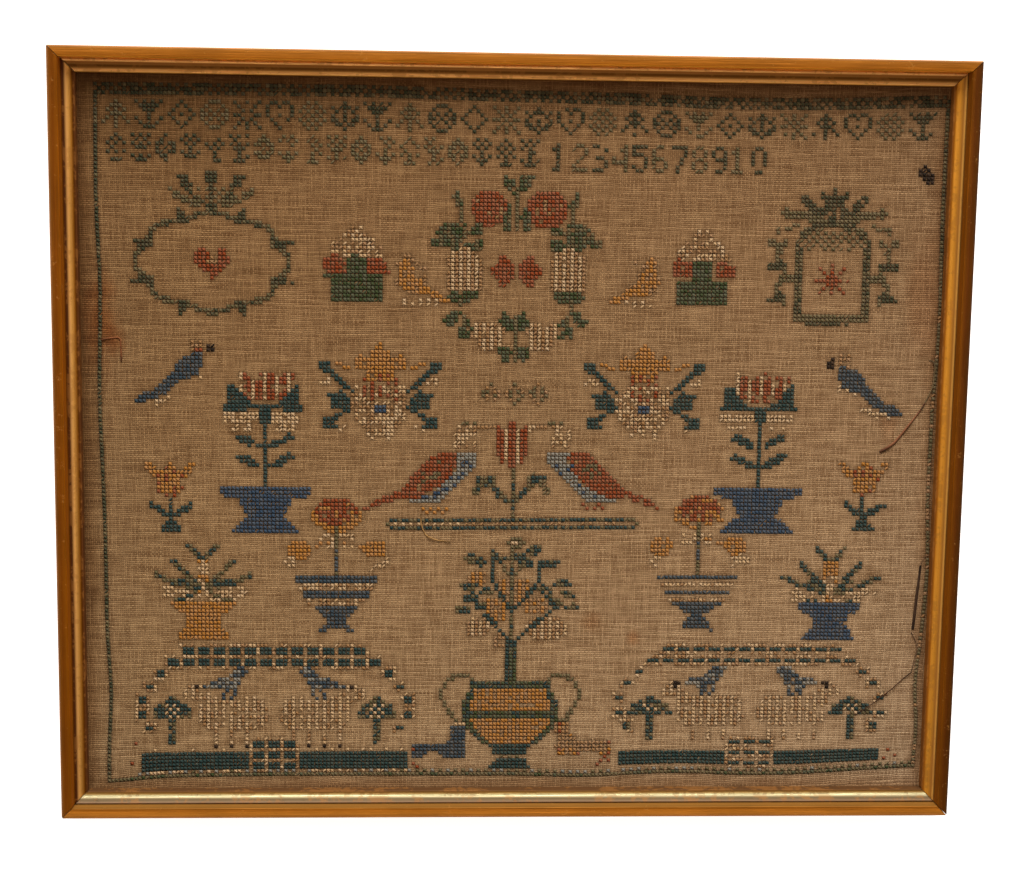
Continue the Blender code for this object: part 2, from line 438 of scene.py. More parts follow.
def box_of(points):
    """Squares inside the rectangle whose two opposite corners are given, edges included."""
    low = points.min(axis=0)
    high = points.max(axis=0)
    return (column >= low[0]) & (column <= high[0]) & (row >= low[1]) & (row <= high[1])


def filled(points):
    """Squares whose middle is inside an outline: a ray to the right crosses it an odd number of times."""
    inside = np.zeros(column.shape, bool)
    for (x0, y0), (x1, y1) in zip(points, np.roll(points, -1, axis=0)):
        rise = y1 - y0 if abs(y1 - y0) > 1e-9 else 1e-9
        spans = (y0 > row) != (y1 > row)
        inside ^= spans & (column < (x1 - x0) * (row - y0) / rise + x0)
    return inside


def path_of(width):
    """Gives the tool for a line: squares no further than half the width from a path."""
    def line(points):
        near = np.full(column.shape, np.inf)
        for start, end in zip(points[:-1], points[1:]):
            step = end - start
            reach = ((column - start[0]) * step[0] + (row - start[1]) * step[1]) / max(step @ step, 1e-9)
            share = reach.clip(0.0, 1.0)
            gap = np.hypot(column - start[0] - share * step[0], row - start[1] - share * step[1])
            near = np.minimum(near, gap)
        return near <= width / 2.0
    return line


def oval(points):
    """Squares inside the ellipse that fits between two opposite corners."""
    middle = points.mean(axis=0)
    reach = np.abs(points[1] - points[0]) / 2.0
    return ((column - middle[0]) / reach[0]) ** 2 + ((row - middle[1]) / reach[1]) ** 2 <= 1.0


def ribs(tool, every=2):
    """A tool that keeps one column in every few, for the ribbed fillings."""
    return lambda points: tool(points) & (column % every == 0)


def checks(tool):
    """A tool that keeps each second square, as on a chess board."""
    return lambda points: tool(points) & ((column + row) % 2 == 0)


def over(thread, tool=box_of):
    """A tool that keeps only squares already worked in the given thread, to shade them."""
    return lambda points: tool(points) & (chart == THREADS.index(thread) + 1)


def work(motif, at=(0.0, 0.0), side=1, swap=None):
    """Works one motif: each line is thread, share still in place, tool and outlines.

    The outlines' points are counted from the motif's middle. Side -1 turns it left for
    right, and swap names other threads for some of its own.
    """
    for thread, share, tool, *outlines in motif:
        number = THREADS.index((swap or {}).get(thread, thread)) + 1
        for points in outlines:
            placed = np.array(points, float) * (side, 1.0) + at
            chart[tool(placed) & (worn_away < share)] = number


def from_rows(rows, at, thread, share=1.0):
    """Works a small repeat from rows of marks, top row first; its lower left square is at."""
    for up, marks in enumerate(reversed(rows)):
        for along, mark in enumerate(marks):
            if mark == "#":
                spot = (column == at[0] + along) & (row == at[1] + up) & (worn_away < share)
                chart[spot] = THREADS.index(thread) + 1


single = path_of(1.0)
double = path_of(2.0)


# The borders
# A trellis of three rows runs along the top, one column of crosses down each side, and a
# row of crosses with a dotted row over it along the bottom.
work((
    ("moss", 0.4, box_of, ((-104, 85.6), (107, 88.4))),
    ("moss", 0.97, checks(box_of), ((-104, 85.6), (107, 88.4))),
    ("sage", 0.15, over('moss'), ((-104, 85.6), (107, 88.4))),
))
work((
    ("moss", 1.0, box_of, ((-104, -88), (-104, 86))),
    ("slate", 0.18, box_of, ((-104, -88), (-104, 50))),
    ("sage", 0.25, box_of, ((-104, -88), (-104, 86))),
    ("sage", 1.0, box_of, ((107, -87), (107, 86))),
    ("moss", 0.3, box_of, ((107, 20), (107, 86))),
    ("tan", 0.3, box_of, ((107, -87), (107, 40))),
    ("sage", 1.0, box_of, ((-104, -88), (107, -88))),
    ("mist", 0.12, box_of, ((-104, -88), (107, -88))),
    ("olive", 0.25, box_of, ((-104, -88), (107, -88))),
    ("mist", 0.95, ribs(box_of), ((-96, -87), (106, -87))),
    ("sage", 0.6, over('mist'), ((-96, -87), (106, -87))),
))


# The two upper bands
# Small geometric motifs in grey-green: twenty-six of them in the first band and eighteen
# narrow ones in the second, which ends in plain numerals.
BAND_MOTIFS = (
    ("...#...", "..###..", ".#.#.#.", "..###..", ".#.#.#.", "#..#..#", "...#..."),
    ("...#...", "..#.#..", ".#...#.", "#..#..#", ".#...#.", "..#.#..", "...#..."),
    ("#..#..#", ".#.#.#.", "..#.#..", "##.#.##", "..#.#..", ".#.#.#.", "#..#..#"),
    (".##.##.", "#..#..#", "#.....#", "#..#..#", ".#...#.", "..#.#..", "...#..."),
    ("#.#.#.#", ".#####.", "..###..", "...#...", "#..#..#", ".#.#.#.", "..###.."),
    ("..#.#..", ".#.#.#.", "#.#.#.#", ".#.#.#.", "#.#.#.#", ".#.#.#.", "..#.#.."),
    ("..###..", ".#...#.", "#.#.#.#", "##.#.##", "#.#.#.#", ".#...#.", "..###.."),
    ("...#...", "#.###.#", ".#.#.#.", "#..#..#", "##.#.##", ".##.##.", "...#..."),
)
BAND_ORDER = (0, 4, 1, 6, 2, 3, 5, 7, 4, 0, 6, 1, 2, 7, 3, 5, 0, 6, 4, 1, 7, 2, 0, 3, 5, 4)
NARROW_MOTIFS = (
    ("..#..", ".#.#.", "#.#.#", ".#.#.", "#.#.#", "..#..", ".###."),
    (".#.#.", "#.#.#", ".#.#.", "..#..", "#.#.#", ".###.", "..#.."),
    ("..#..", ".###.", "##.##", "#.#.#", "##.##", ".###.", "..#.."),
    ("#.#.#", ".#.#.", "#.#.#", ".###.", "..#..", "#.#.#", ".###."),
)
NUMERALS = {
    "1": (".#..", "##..", ".#..", ".#..", ".#..", ".#..", "###."),
    "2": (".##.", "#..#", "...#", "..#.", ".#..", "#...", "####"),
    "3": ("###.", "...#", "...#", ".##.", "...#", "...#", "###."),
    "4": ("...#", "..##", ".#.#", "#..#", "####", "...#", "...#"),
    "5": ("####", "#...", "###.", "...#", "...#", "#..#", ".##."),
    "6": (".##.", "#...", "#...", "###.", "#..#", "#..#", ".##."),
    "7": ("####", "...#", "...#", "..#.", "..#.", ".#..", ".#.."),
    "8": (".##.", "#..#", "#..#", ".##.", "#..#", "#..#", ".##."),
    "9": (".##.", "#..#", "#..#", ".###", "...#", "...#", ".##."),
    "0": (".##.", "#..#", "#..#", "#..#", "#..#", "#..#", ".##."),
}
for place, which in enumerate(BAND_ORDER):
    from_rows(BAND_MOTIFS[which], (-102 + 8 * place, 78), "moss" if place % 3 else "sage", 0.97)
for place in range(18):
    thread = "sage" if 5 < place < 15 else "moss"
    from_rows(NARROW_MOTIFS[place * 3 % 4], (-101 + 6 * place, 70), thread, 0.9)
for place, figure in enumerate("12345678910"):
    from_rows(NUMERALS[figure], (9 + 5 * place, 69), "sage" if place % 2 else "moss", 0.97)


# The garland and the arch
# Two open frames near the upper corners, in grey-green, each with a small red motif inside.
HEART = (
    ("rust", 0.92, filled,
     ((0, -4.6), (4.5, 0.2), (4.6, 2.2), (3.2, 3.6), (1.6, 3.5), (0, 2.0), (-1.6, 3.5), (-3.2, 3.6),
      (-4.6, 2.2), (-4.5, 0.2))),
    ("tan", 1.0, oval, ((-1.4, -0.8), (1.4, 1.2))),
)
STAR = (
    ("rust", 0.95, single,
     ((-4, 0), (4, 0)), ((0, -4), (0, 4)), ((-3, -3), (3, 3)), ((-3, 3), (3, -3))),
    ("rust", 1.0, box_of, ((-1, -1), (1, 1))),
)
GARLAND_MIDDLE = (-76, 45)
LOBES = 8
around = np.linspace(0.0, 2.0 * math.pi, 97)
swing = 1.0 + 0.11 * (np.abs(np.cos(around * LOBES / 2.0)) - 0.6)
ring = np.stack([18.2 * swing * np.cos(around), 11.8 * swing * np.sin(around)], axis=1)
work((
    ("sage", 1.0, path_of(1.5), ring),
    ("moss", 0.35, over('sage'), ((-22, -16), (22, 16))),
), GARLAND_MIDDLE)
for turn in (np.arange(LOBES) + 0.5) * 2.0 * math.pi / LOBES:
    foot = np.array([17.4 * math.cos(turn), 11.3 * math.sin(turn)])
    work((("moss", 0.95, path_of(1.7), (foot, foot * 1.2)),), GARLAND_MIDDLE)
work((
    ("moss", 0.97, single, ((0, 13), (0, 21))),
    ("moss", 0.97, oval, ((-1.4, 18.6), (1.4, 23))),
    ("moss", 0.97, single, ((-1, 14), (-5, 17), (-6.4, 20.6)), ((1, 14), (5, 17), (6.4, 20.6))),
    ("moss", 0.97, path_of(2.2), ((-5.4, 18.4), (-7, 20.8)), ((5.4, 18.4), (7, 20.8))),
    ("sage", 0.97, path_of(1.8),
     ((-3, 14.4), (-7, 15.4), (-10, 17.6)), ((3, 14.4), (7, 15.4), (10, 17.6))),
    ("sage", 0.8, checks(box_of), ((-5, 15), (5, 18))),
), GARLAND_MIDDLE)
work(HEART, GARLAND_MIDDLE)

ARCH_MIDDLE = (80, 42)
half_turn = np.linspace(0.0, math.pi, 17)
arch_top = np.stack([9.0 * np.cos(half_turn), 8 + 6.5 * np.sin(half_turn)], axis=1)
inner_top = np.stack([5.4 * np.cos(half_turn), 8 + 3.6 * np.sin(half_turn)], axis=1)
for side in (-1, 1):
    work((
        ("sage", 1.0, path_of(1.6), ((8.5, -9), (8.5, 8))),
        ("moss", 0.5, path_of(1.6), ((8.5, -9), (8.5, 8))),
        ("sage", 0.95, single, ((12, -6), (14, -2), (12, 2), (14, 6), (12, 10))),
        ("moss", 0.9, double, ((13, -4), (15.5, -5)), ((13, 4), (15.5, 3.5))),
        ("sage", 0.9, double, ((13, 8.5), (15.5, 9.5)), ((12.5, 0), (10.5, 0.8))),
        ("moss", 0.95, double, ((2, 16), (8, 20.5))),
        ("sage", 0.95, double, ((3, 15.5), (12, 17))),
        ("sage", 0.9, single, ((9, 14), (14, 12.5))),
    ), ARCH_MIDDLE, side)
work((
    ("sage", 1.0, path_of(1.6), arch_top),
    ("moss", 0.5, path_of(1.6), arch_top),
    ("sage", 0.9, checks(filled), arch_top * (0.86, 1.0)),
    ("sage", 1.0, single, ((-9, -9.5), (9, -9.5))),
    ("moss", 0.9, single, ((-6, -11), (6, -11))),
    ("moss", 0.95, filled,
     ((-2.6, 18), (-3.4, 23), (-1.2, 20.8), (0, 24), (1.2, 20.8), (3.4, 23), (2.6, 18))),
    ("moss", 1.0, single, ((0, 14), (0, 18))),
), ARCH_MIDDLE)
work(STAR, ARCH_MIDDLE)


# The wreath
# An open ring of sprigs: two red blooms at its top, cream buds down its sides, leaves between.
UPPER_BUD = ((9, 38.4), (8.6, 44), (9.4, 48.4), (13, 49.4), (16.8, 48.6), (17.8, 44), (17.4, 38.8))
LOWER_BUD = ((2.4, 31), (10.8, 30), (11, 27), (8.4, 23.4), (3.6, 23.4))
SPRIG = (
    ("olive", 0.95, filled, ((13, 60), (15.4, 64.4), (16, 62), (14.8, 59.6))),
    ("sage", 0.9, single, ((14.6, 60), (13.4, 55), (13.4, 49))),
    ("olive", 0.8, path_of(1.8), ((13.4, 55), (13.2, 49))),
    ("olive", 0.95, filled,
     ((14, 55.4), (18, 55), (20.6, 52.4), (17, 51.4), (14, 51.6)),
     ((14.6, 51.6), (20, 51.4), (23.4, 50.4), (19, 49.4), (14.6, 48.6))),
    ("olive", 0.9, filled, ((12.6, 52.4), (10, 55.2), (8, 55), (9, 52.8))),
    ("olive", 0.92, filled, ((12.4, 50), (10.4, 52), (8.2, 50.8), (8.8, 48), (11, 48.4))),
    ("sage", 0.35, over('olive'), ((7, 48), (24, 65))),
    ("tan", 0.95, filled, UPPER_BUD),
    ("cream", 0.97, ribs(filled), UPPER_BUD),
    ("olive", 0.97, filled, ((8.6, 39), (12, 38), (16, 38.8), (17.8, 37), (14.4, 35), (10.6, 35.2))),
    ("sage", 0.95, single, ((13.6, 36), (13.4, 29.4))),
    ("olive", 0.92, filled, ((13.6, 33.4), (16.6, 33.4), (18.8, 30.4), (15.6, 29.6))),
    ("olive", 0.9, filled, ((13, 32), (10.6, 30.6), (9.6, 28.6), (12.2, 29.2))),
    ("olive", 0.92, filled, ((14.6, 29.2), (12.6, 29.4), (10.6, 27), (12.6, 25.8), (14.4, 27))),
    ("tan", 0.9, filled, LOWER_BUD),
    ("cream", 0.95, ribs(filled), LOWER_BUD),
)
for side in (-1, 1):
    work(SPRIG, (0, 0), side)
work((
    ("rust", 0.98, oval, ((-11.6, 54.6), (-2.2, 64))),
    ("tan", 0.12, oval, ((-10.4, 55.6), (-3.4, 63))),
    ("rust", 0.98, oval, ((2.0, 54.4), (13.0, 64))),
    ("tan", 0.12, oval, ((3.4, 55.6), (11.6, 63))),
    ("olive", 0.95, filled,
     ((-0.6, 62.6), (-3.6, 64.4), (-3.2, 67.6), (-1, 66.4)),
     ((0.2, 63), (1, 67.4), (4.2, 67.2), (3.4, 64.2))),
    ("sage", 1.0, single, ((0, 64), (0, 54))),
    ("olive", 0.96, filled,
     ((-1.4, 61), (-3.2, 58.4), (-3.8, 55), (-2.8, 52.6), (-1.2, 53.6), (-1, 57)),
     ((1.4, 61), (3.2, 58.4), (3.8, 55), (2.8, 52.6), (1.2, 53.6), (1, 57))),
    ("sage", 0.3, over('olive'), ((-4, 53), (4, 68))),
    ("olive", 0.95, filled,
     ((-0.6, 28.4), (-4.2, 29.4), (-3.8, 33.4), (-1.2, 32.6)),
     ((0.4, 28.4), (3.2, 29.4), (2.8, 33.4), (0.4, 32.6))),
    ("sage", 1.0, single, ((-0.4, 32), (-0.4, 21))),
    ("olive", 0.95, oval, ((-4.3, 20.6), (-0.9, 25)), ((0.0, 20.6), (3.4, 25))),
))
for middle in (-3, 3):
    work((
        ("rust", 1.0, filled, ((-3.4, 0), (0, 4.8), (3.4, 0), (0, -4.8))),
        ("tan", 0.9, box_of, ((0, -1), (0, 1))),
    ), (middle * 1.1, 43.5))


# Flower baskets and their birds
# A green basket with red blooms on each side of the wreath, and a yellow bird beside it.
BLOSSOM_CROWN = (
    (-6.6, 46.5), (-6.4, 49.6), (-3, 52), (-1, 54.8), (1, 54.8), (3, 52), (6.8, 49.6), (7, 46.5),
)
BASKET = (
    ("tan", 0.75, filled, BLOSSOM_CROWN),
    ("cream", 0.36, filled, BLOSSOM_CROWN),
    ("rust", 0.96, filled,
     ((-7.6, 43), (-8, 46), (-6, 47.4), (-3, 46.6), (-2, 43)),
     ((8.2, 42.6), (8.8, 45), (5.6, 47), (3, 46.2), (2, 43))),
    ("olive", 1.0, filled, ((-2.4, 42), (-2.2, 46.2), (-0.8, 47.2), (1, 47.2), (2.4, 46), (2.4, 42))),
    ("olive", 1.0, box_of, ((-6.6, 36), (6.6, 42))),
    ("olive", 0.9, box_of, ((-8, 42), (8, 42))),
)
YELLOW_BIRD = (
    ("gold", 0.98, filled,
     ((-4.0, 45), (-2.8, 47.4), (-1.0, 45.6), (0.2, 42), (3, 39.6), (7, 36.8), (9.8, 35.2), (6, 35.6),
      (2, 37.7), (-2.4, 37.6), (-4.6, 41))),
    ("tan", 0.2, box_of, ((-5, 38), (3, 47))),
    ("cream", 0.75, ribs(box_of), ((-3, 35), (5.5, 36.4))),
)
work(BASKET, (-40.3, 0))
work(BASKET, (47.1, -0.2))
work(YELLOW_BIRD, (-25.2, 0))
work(YELLOW_BIRD, (31.6, 0), -1)


# Blue birds
# One perches near each side, long tail down, with a dark beak and a few cream stitches under it.
BLUE_BIRD = (
    ("tan", 0.75, oval, ((5.2, 21.8), (9.2, 26))),
    ("rust", 0.25, oval, ((5.2, 21.8), (9.2, 26))),
    ("cream", 0.55, filled, ((-6, 9), (-3, 11), (2, 12.4), (3, 10.8), (-2, 9))),
    ("cream", 0.4, filled, ((4, 15), (8.4, 15.6), (9, 19), (7.6, 19))),
    ("slate", 1.0, filled,
     ((-9.3, 9.4), (-6.2, 12.4), (-3.0, 12.8), (-0.8, 15.2), (2.2, 19.2), (5.0, 21.8), (8.4, 22.6),
      (9.2, 20.8), (7.4, 16.8), (2.6, 15.0), (0, 12.5), (-3.2, 10.4), (-7, 9.6))),
    ("black", 1.0, filled, ((9.6, 23), (10.4, 24.6), (12.2, 23.4), (12, 22.2), (10, 22.2))),
)
work(BLUE_BIRD, (-87.2, 0))
work(BLUE_BIRD, (91.4, -2.2), -1)


# Carnations
# A gold flower over a cream body, with a green arrow-headed spray at each corner and side. Three
# small open diamonds stand between the two.
CARNATION_SPRAYS = (
    ("green", 1.0, path_of(1.2), ((7.0, 13.0), (13.2, 18.6))),
    ("green", 1.0, filled,
     ((12.0, 17.4), (15.8, 18.2), (15.6, 20.6), (12.6, 20.7)),
     ((6.6, 10.6), (9.6, 13.1), (13.6, 12.8), (12.2, 10.7), (13.2, 8.3), (9.4, 8.1))),
    ("green", 1.0, path_of(1.2), ((7.4, 9.2), (12.8, 5.0))),
    ("green", 1.0, filled, ((10.6, 3.6), (15, 3.6), (14.8, 6.3), (12.4, 6))),
    ("gold", 0.9, single, ((8.4, 19), (10.6, 20))),
    ("cream", 0.65, filled, ((11, 14), (15, 14.4), (15, 17), (12.6, 16.4))),
    ("cream", 0.55, filled, ((8.2, 4.4), (11, 3.4), (12, 1.4), (9.4, 2.4))),
)
CARNATION_BODY = (
    (-7, 12.5), (-6.4, 14.6), (6.4, 14.6), (7, 12.5), (7, 8), (5.6, 5), (3, 2.6), (-3, 2.6),
    (-5.6, 5), (-7, 8),
)
CARNATION = (
    ("cream", 0.8, filled, CARNATION_BODY),
    ("tan", 0.35, filled, CARNATION_BODY),
    ("cream", 0.4, filled, ((-4, 2.5), (4, 2.5), (3, 0.4), (-3, 0.4))),
    ("gold", 0.95, filled,
     ((-3.2, 15.4), (-3.2, 21.4), (-1.8, 24), (0, 25.4), (1.8, 24), (3.2, 21.4), (3.2, 15.4))),
    ("gold", 0.92, filled,
     ((-3, 18), (-6, 18.4), (-6.8, 20.6), (-5, 22.4), (-3, 21)),
     ((3, 18), (6, 18.4), (6.8, 20.6), (5, 22.4), (3, 21))),
    ("rust", 0.55, ribs(box_of), ((-4, 11), (4, 17))),
    ("blue", 1.0, oval, ((-1.8, 7.2), (1.8, 9.6))),
)
for middle in (-34, 33):
    for side in (-1, 1):
        work(CARNATION_SPRAYS, (middle, 0), side)
    work(CARNATION, (middle, 0))
DIAMOND = ((-2, 12.5), (0, 15), (2, 12.5), (0, 10), (-2, 12.5))
for middle in (-6, 0, 6):
    work((("tan", 0.95, single, DIAMOND), ("sage", 0.35, single, DIAMOND)), (middle, 0))


# Tall flowers in blue pots
# A waisted pot, a straight stem with two pairs of leaves, wide green sepals and a ribbed bloom.
RIBBED_BLOOM = (
    (-6.8, 12.4), (-7, 17.8), (-4.6, 17.6), (-3, 15.8), (-1, 17), (1.4, 17.8), (3.4, 16), (5, 17.6),
    (7.2, 17.4), (6.8, 12.6), (3.4, 10.4), (-3.4, 10.4),
)
TALL_FLOWER = (
    ("cream", 0.9, box_of, ((-10, 5), (-2, 7))),
    ("cream", 0.6, box_of, ((-8, 3), (-4, 4))),
    ("cream", 0.9, box_of, ((2, 5), (8, 7))),
    ("cream", 0.65, box_of, ((3, 3), (7, 4))),
    ("rust", 0.8, filled, RIBBED_BLOOM),
    ("cream", 0.8, ribs(filled, 3), RIBBED_BLOOM),
    ("green", 1.0, filled,
     ((-10.4, 7.7), (-8.8, 15), (-7.4, 14.2), (-5.2, 11.6), (-3, 9.6), (3, 9.6), (5.2, 11.6),
      (7.4, 14.4), (8.4, 15), (9.2, 7.7), (1, 8.2), (-1, 8.2))),
    ("green", 1.0, box_of, ((-1.2, 5), (1.2, 9))),
    ("green", 1.0, single, ((0, 5), (0, -12))),
    ("green", 0.98, filled,
     ((-7.8, 0.9), (-5.6, 2.0), (-3, 0.8), (-0.4, -1.3), (-2.6, -1.6), (-5.2, -0.5)),
     ((8, 1.6), (6, 2.4), (3, 0.9), (0.4, -1.1), (2.6, -1.6), (5.4, -0.2)),
     ((-7.8, -4.1), (-5.6, -3.2), (-3, -4.4), (-0.4, -6.5), (-2.6, -7), (-5.2, -5.8)),
     ((8, -3.6), (6, -2.8), (3, -4.3), (0.4, -6.3), (2.6, -6.8), (5.4, -5.4))),
    ("blue", 1.0, filled,
     ((-10.6, -11.4), (10.6, -11.4), (11.7, -13), (9.8, -14.5), (7, -14.6), (5.4, -17.5), (4.8, -19.4),
      (6.6, -20.6), (9.4, -23.5), (-9.4, -23.5), (-6.6, -20.6), (-4.8, -19.4), (-5.4, -17.5),
      (-7, -14.6), (-9.8, -14.5), (-11.7, -13))),
)
work(TALL_FLOWER, (-63, 0))
work(TALL_FLOWER, (63, 0.4))


# The tulip and its two birds
# A red tulip with hooked leaves stands on a long bar, between two long-tailed birds.
TULIP = (
    ("tan", 0.9, single, ((-6, 4), (-4, 3))),
    ("cream", 0.9, single, ((5, 4), (3, 3))),
    ("rust", 1.0, filled,
     ((-4.6, 4.5), (-4.7, -2), (-3.6, -5), (-2, -6.4), (-2.2, 3.2)),
     ((-1.6, -6.4), (-1.6, 4.4), (-0.5, 6.2), (0.6, 4.4), (0.6, -6.4)),
     ((3.6, 4.5), (3.7, -2), (2.6, -5), (1, -6.4), (1.2, 3.2))),
    ("cream", 0.95, box_of, ((-2, -5), (-2, 3)), ((1, -5), (1, 3))),
    ("sage", 1.0, single, ((-0.4, -7), (-0.4, -20))),
    ("sage", 1.0, path_of(1.6), ((-1, -15), (-3.4, -13.6), (-5.4, -11))),
    ("sage", 1.0, path_of(2.9), ((-5.6, -9.8), (-8.2, -9.8))),
    ("sage", 1.0, path_of(1.8), ((-8.4, -10), (-9.4, -12.4))),
    ("sage", 1.0, path_of(1.6), ((0, -15), (2.4, -13.4), (4.4, -10.6))),
    ("sage", 1.0, path_of(2.9), ((4.8, -9.4), (7.4, -9.6))),
    ("sage", 1.0, path_of(1.8), ((7.8, -10), (8.4, -12.8))),
    ("green", 0.4, over('sage'), ((-10, -19), (9, -8))),
)
TULIP_BIRD = (
    ("rust", 0.98, filled,
     ((39.5, -17.9), (36, -15.2), (33, -13.9), (29.2, -12.6), (26.8, -9.6), (24.2, -6.8), (21, -3.8),
      (18.8, -2.5), (15.4, -2.5), (14.4, -4.6), (15.6, -7.4), (18, -10.2), (21, -12.6), (24.2, -14.2),
      (30, -14.8), (35, -16.4))),
    ("tan", 0.45, ribs(filled), ((24, -10.5), (16, -3.4), (17, -6.6), (22, -11.4), (26, -12))),
    ("sage", 0.25, filled, ((25, -9.5), (21, -4.6), (17, -3.4), (17, -6.6), (22, -10.4))),
    ("mist", 1.0, filled,
     ((15.2, -2.4), (9.6, -2.4), (9.6, -5.2), (11.4, -7.8), (14.4, -10.8), (17, -13), (19, -15.3),
      (27, -15.3), (24.4, -14.3), (20.4, -12.7), (17.4, -10.2), (15.2, -7.2), (14.4, -4.6))),
    ("blue", 0.28, filled,
     ((15.2, -4.4), (9.6, -4.4), (14.4, -10.8), (19, -15.3), (24.4, -14.3), (17.4, -10.2))),
    ("tan", 0.9, ribs(filled), ((15.4, -1.4), (15.2, 2.5), (13.4, 5.4), (10, 5.4), (10, -1.4))),
    ("cream", 0.42, filled, ((15.4, -1.4), (15.2, 2.5), (13.4, 5.4), (10, 5.4), (10, -1.4))),
    ("sage", 0.6, single, ((13, 5), (9, 4.4))),
    ("tan", 0.9, single, ((9, 4.3), (5.4, 3.8))),
)
BIRD_FEET = (
    ("gold", 0.8, checks(box_of), ((16.6, -18), (23.6, -16.6))),
)
work(TULIP_BIRD, (0.2, 0), -1)
work(TULIP_BIRD, (-0.6, 0.2), 1)
work(BIRD_FEET, (0, 0), -1)
work(BIRD_FEET, (0, 0.6), 1, {"gold": "rust"})
work(TULIP)
work((
    ("cream", 0.85, ribs(box_of), ((-30, -21), (-14, -21))),
    ("tan", 0.7, ribs(box_of), ((-13, -21), (29, -21))),
    ("green", 1.0, single, ((-31, -20), (31, -20)), ((-31, -22), (31, -22))),
    ("green", 1.0, box_of, ((-32, -21), (-32, -21)), ((32, -21), (32, -21))),
    ("sage", 0.35, over('green'), ((-33, -22), (33, -20))),
))


# Small tulips
# One stands near each side: a gold bloom, two leaves and a small green foot.
SMALL_TULIP = (
    ("gold", 0.95, filled,
     ((-6.6, -5.4), (-4.8, -5.6), (-2.8, -8), (-1.6, -6.6), (0, -5), (1.6, -6.6), (2.8, -8),
      (4.8, -5.4), (6.4, -5.6), (5.2, -8.4), (3.2, -9.6), (2.6, -13.6), (-2.8, -13.6), (-3.4, -9.6),
      (-5.4, -8.6))),
    ("rust", 0.4, ribs(filled), ((-4, -9), (-2.8, -14), (2.6, -14), (4, -9), (0, -5))),
    ("green", 1.0, single, ((0, -15), (0, -21))),
    ("green", 1.0, path_of(1.5), ((0, -19.6), (-4.6, -16.6)), ((0, -19.6), (5, -16.6))),
    ("green", 1.0, filled, ((-1.2, -20.4), (1.2, -20.4), (3.3, -23.6), (-3.3, -23.6))),
)
work(SMALL_TULIP, (-87, 0))
work(SMALL_TULIP, (90.4, 0.9))


# Striped urns with umbrella flowers
# A blue and cream striped urn on a small foot, and over it a rust flower with gold side blooms.
STRIPED_URN = (
    ("gold", 0.75, oval, ((-6.6, -23.2), (6.6, -15))),
    ("rust", 0.96, oval, ((-5.2, -21.6), (5.2, -14.2))),
    ("gold", 0.3, oval, ((-5.2, -21.6), (5.2, -14.2))),
    ("cream", 0.45, box_of, ((-4, -27), (4, -24))),
    ("sage", 1.0, single, ((0, -22), (0, -35))),
    ("slate", 0.45, single, ((0, -22), (0, -35))),
    ("gold", 0.95, oval, ((-12.4, -30.6), (-6.6, -25.4)), ((6.8, -30.0), (12.8, -25.0))),
    ("gold", 0.55, single, ((-6, -27), (-2, -25.5)), ((6, -27), (2, -25.5))),
    ("cream", 0.55, filled,
     ((-14, -29), (-9, -30.6), (-9, -34), (-12.6, -32)),
     ((14.4, -29), (9, -30), (9, -33.6), (13, -32))),
    ("slate", 1.0, box_of, ((-10.6, -36), (10.6, -35))),
    ("cream", 0.8, box_of, ((-9.6, -38), (9.6, -37))),
    ("tan", 0.35, box_of, ((-9.6, -38), (9.6, -37))),
    ("slate", 1.0, box_of, ((-8.8, -40), (8.8, -39))),
    ("cream", 0.75, box_of, ((-7.6, -42), (7.6, -41))),
    ("tan", 0.35, box_of, ((-7.6, -42), (7.6, -41))),
    ("slate", 1.0, filled,
     ((-6.4, -42.6), (6.4, -42.6), (3, -45.5), (-3, -45.5)),
     ((-1.6, -45), (1.6, -45), (2.4, -46.8), (5, -50.3), (2, -48.8), (-2, -48.8), (-5, -50.3),
      (-2.4, -46.8))),
)
work(STRIPED_URN, (-45, 0))
work(STRIPED_URN, (48, 0.8))


# Leafy pots
# A fan of spiky leaves over a small pot, yellow on the left and blue on the right.
LEAF_FAN = (
    ("cream", 0.8, box_of, ((-1.8, -41), (1.8, -31))),
    ("gold", 0.3, box_of, ((-1.8, -41), (1.8, -31))),
)
LEAF_FAN_HALF = (
    ("cream", 0.6, filled, ((2, -41.4), (9.6, -41.4), (11.6, -39), (9, -37.8), (4, -39))),
    ("green", 0.95, path_of(1.5), ((2, -39), (5, -37.4), (8.4, -36.6), (12, -34.8))),
    ("green", 0.95, path_of(2.4), ((2, -38), (5, -36.6))),
    ("green", 0.95, path_of(1.4), ((2.4, -37), (4.4, -34.4), (7.6, -31.6))),
    ("green", 0.9, single, ((3, -40.6), (6.6, -41.6))),
    ("green", 0.95, path_of(1.5), ((0.6, -30.4), (3.6, -27.6))),
    ("sage", 0.5, over('green'), ((0, -42), (13, -27))),
)
SMALL_POT = (
    ("blue", 1.0, filled,
     ((-8.2, -41.6), (8.2, -41.6), (7.8, -43.4), (4.6, -45.4), (4.2, -47.6), (6.4, -50), (6.8, -51.6),
      (-6.8, -51.6), (-6.4, -50), (-4.2, -47.6), (-4.6, -45.4), (-7.8, -43.4))),
)

for at, swap in (((-79, 0.4), {"blue": "gold"}), ((82.6, 0), None)):
    work(LEAF_FAN, at)
    for side in (-1, 1):
        work(LEAF_FAN_HALF, at, side)
    work(SMALL_POT, at, 1, swap)
work((("gold", 1.0, box_of, ((-1.6, -34), (1.6, -31))),), (82.6, 0))


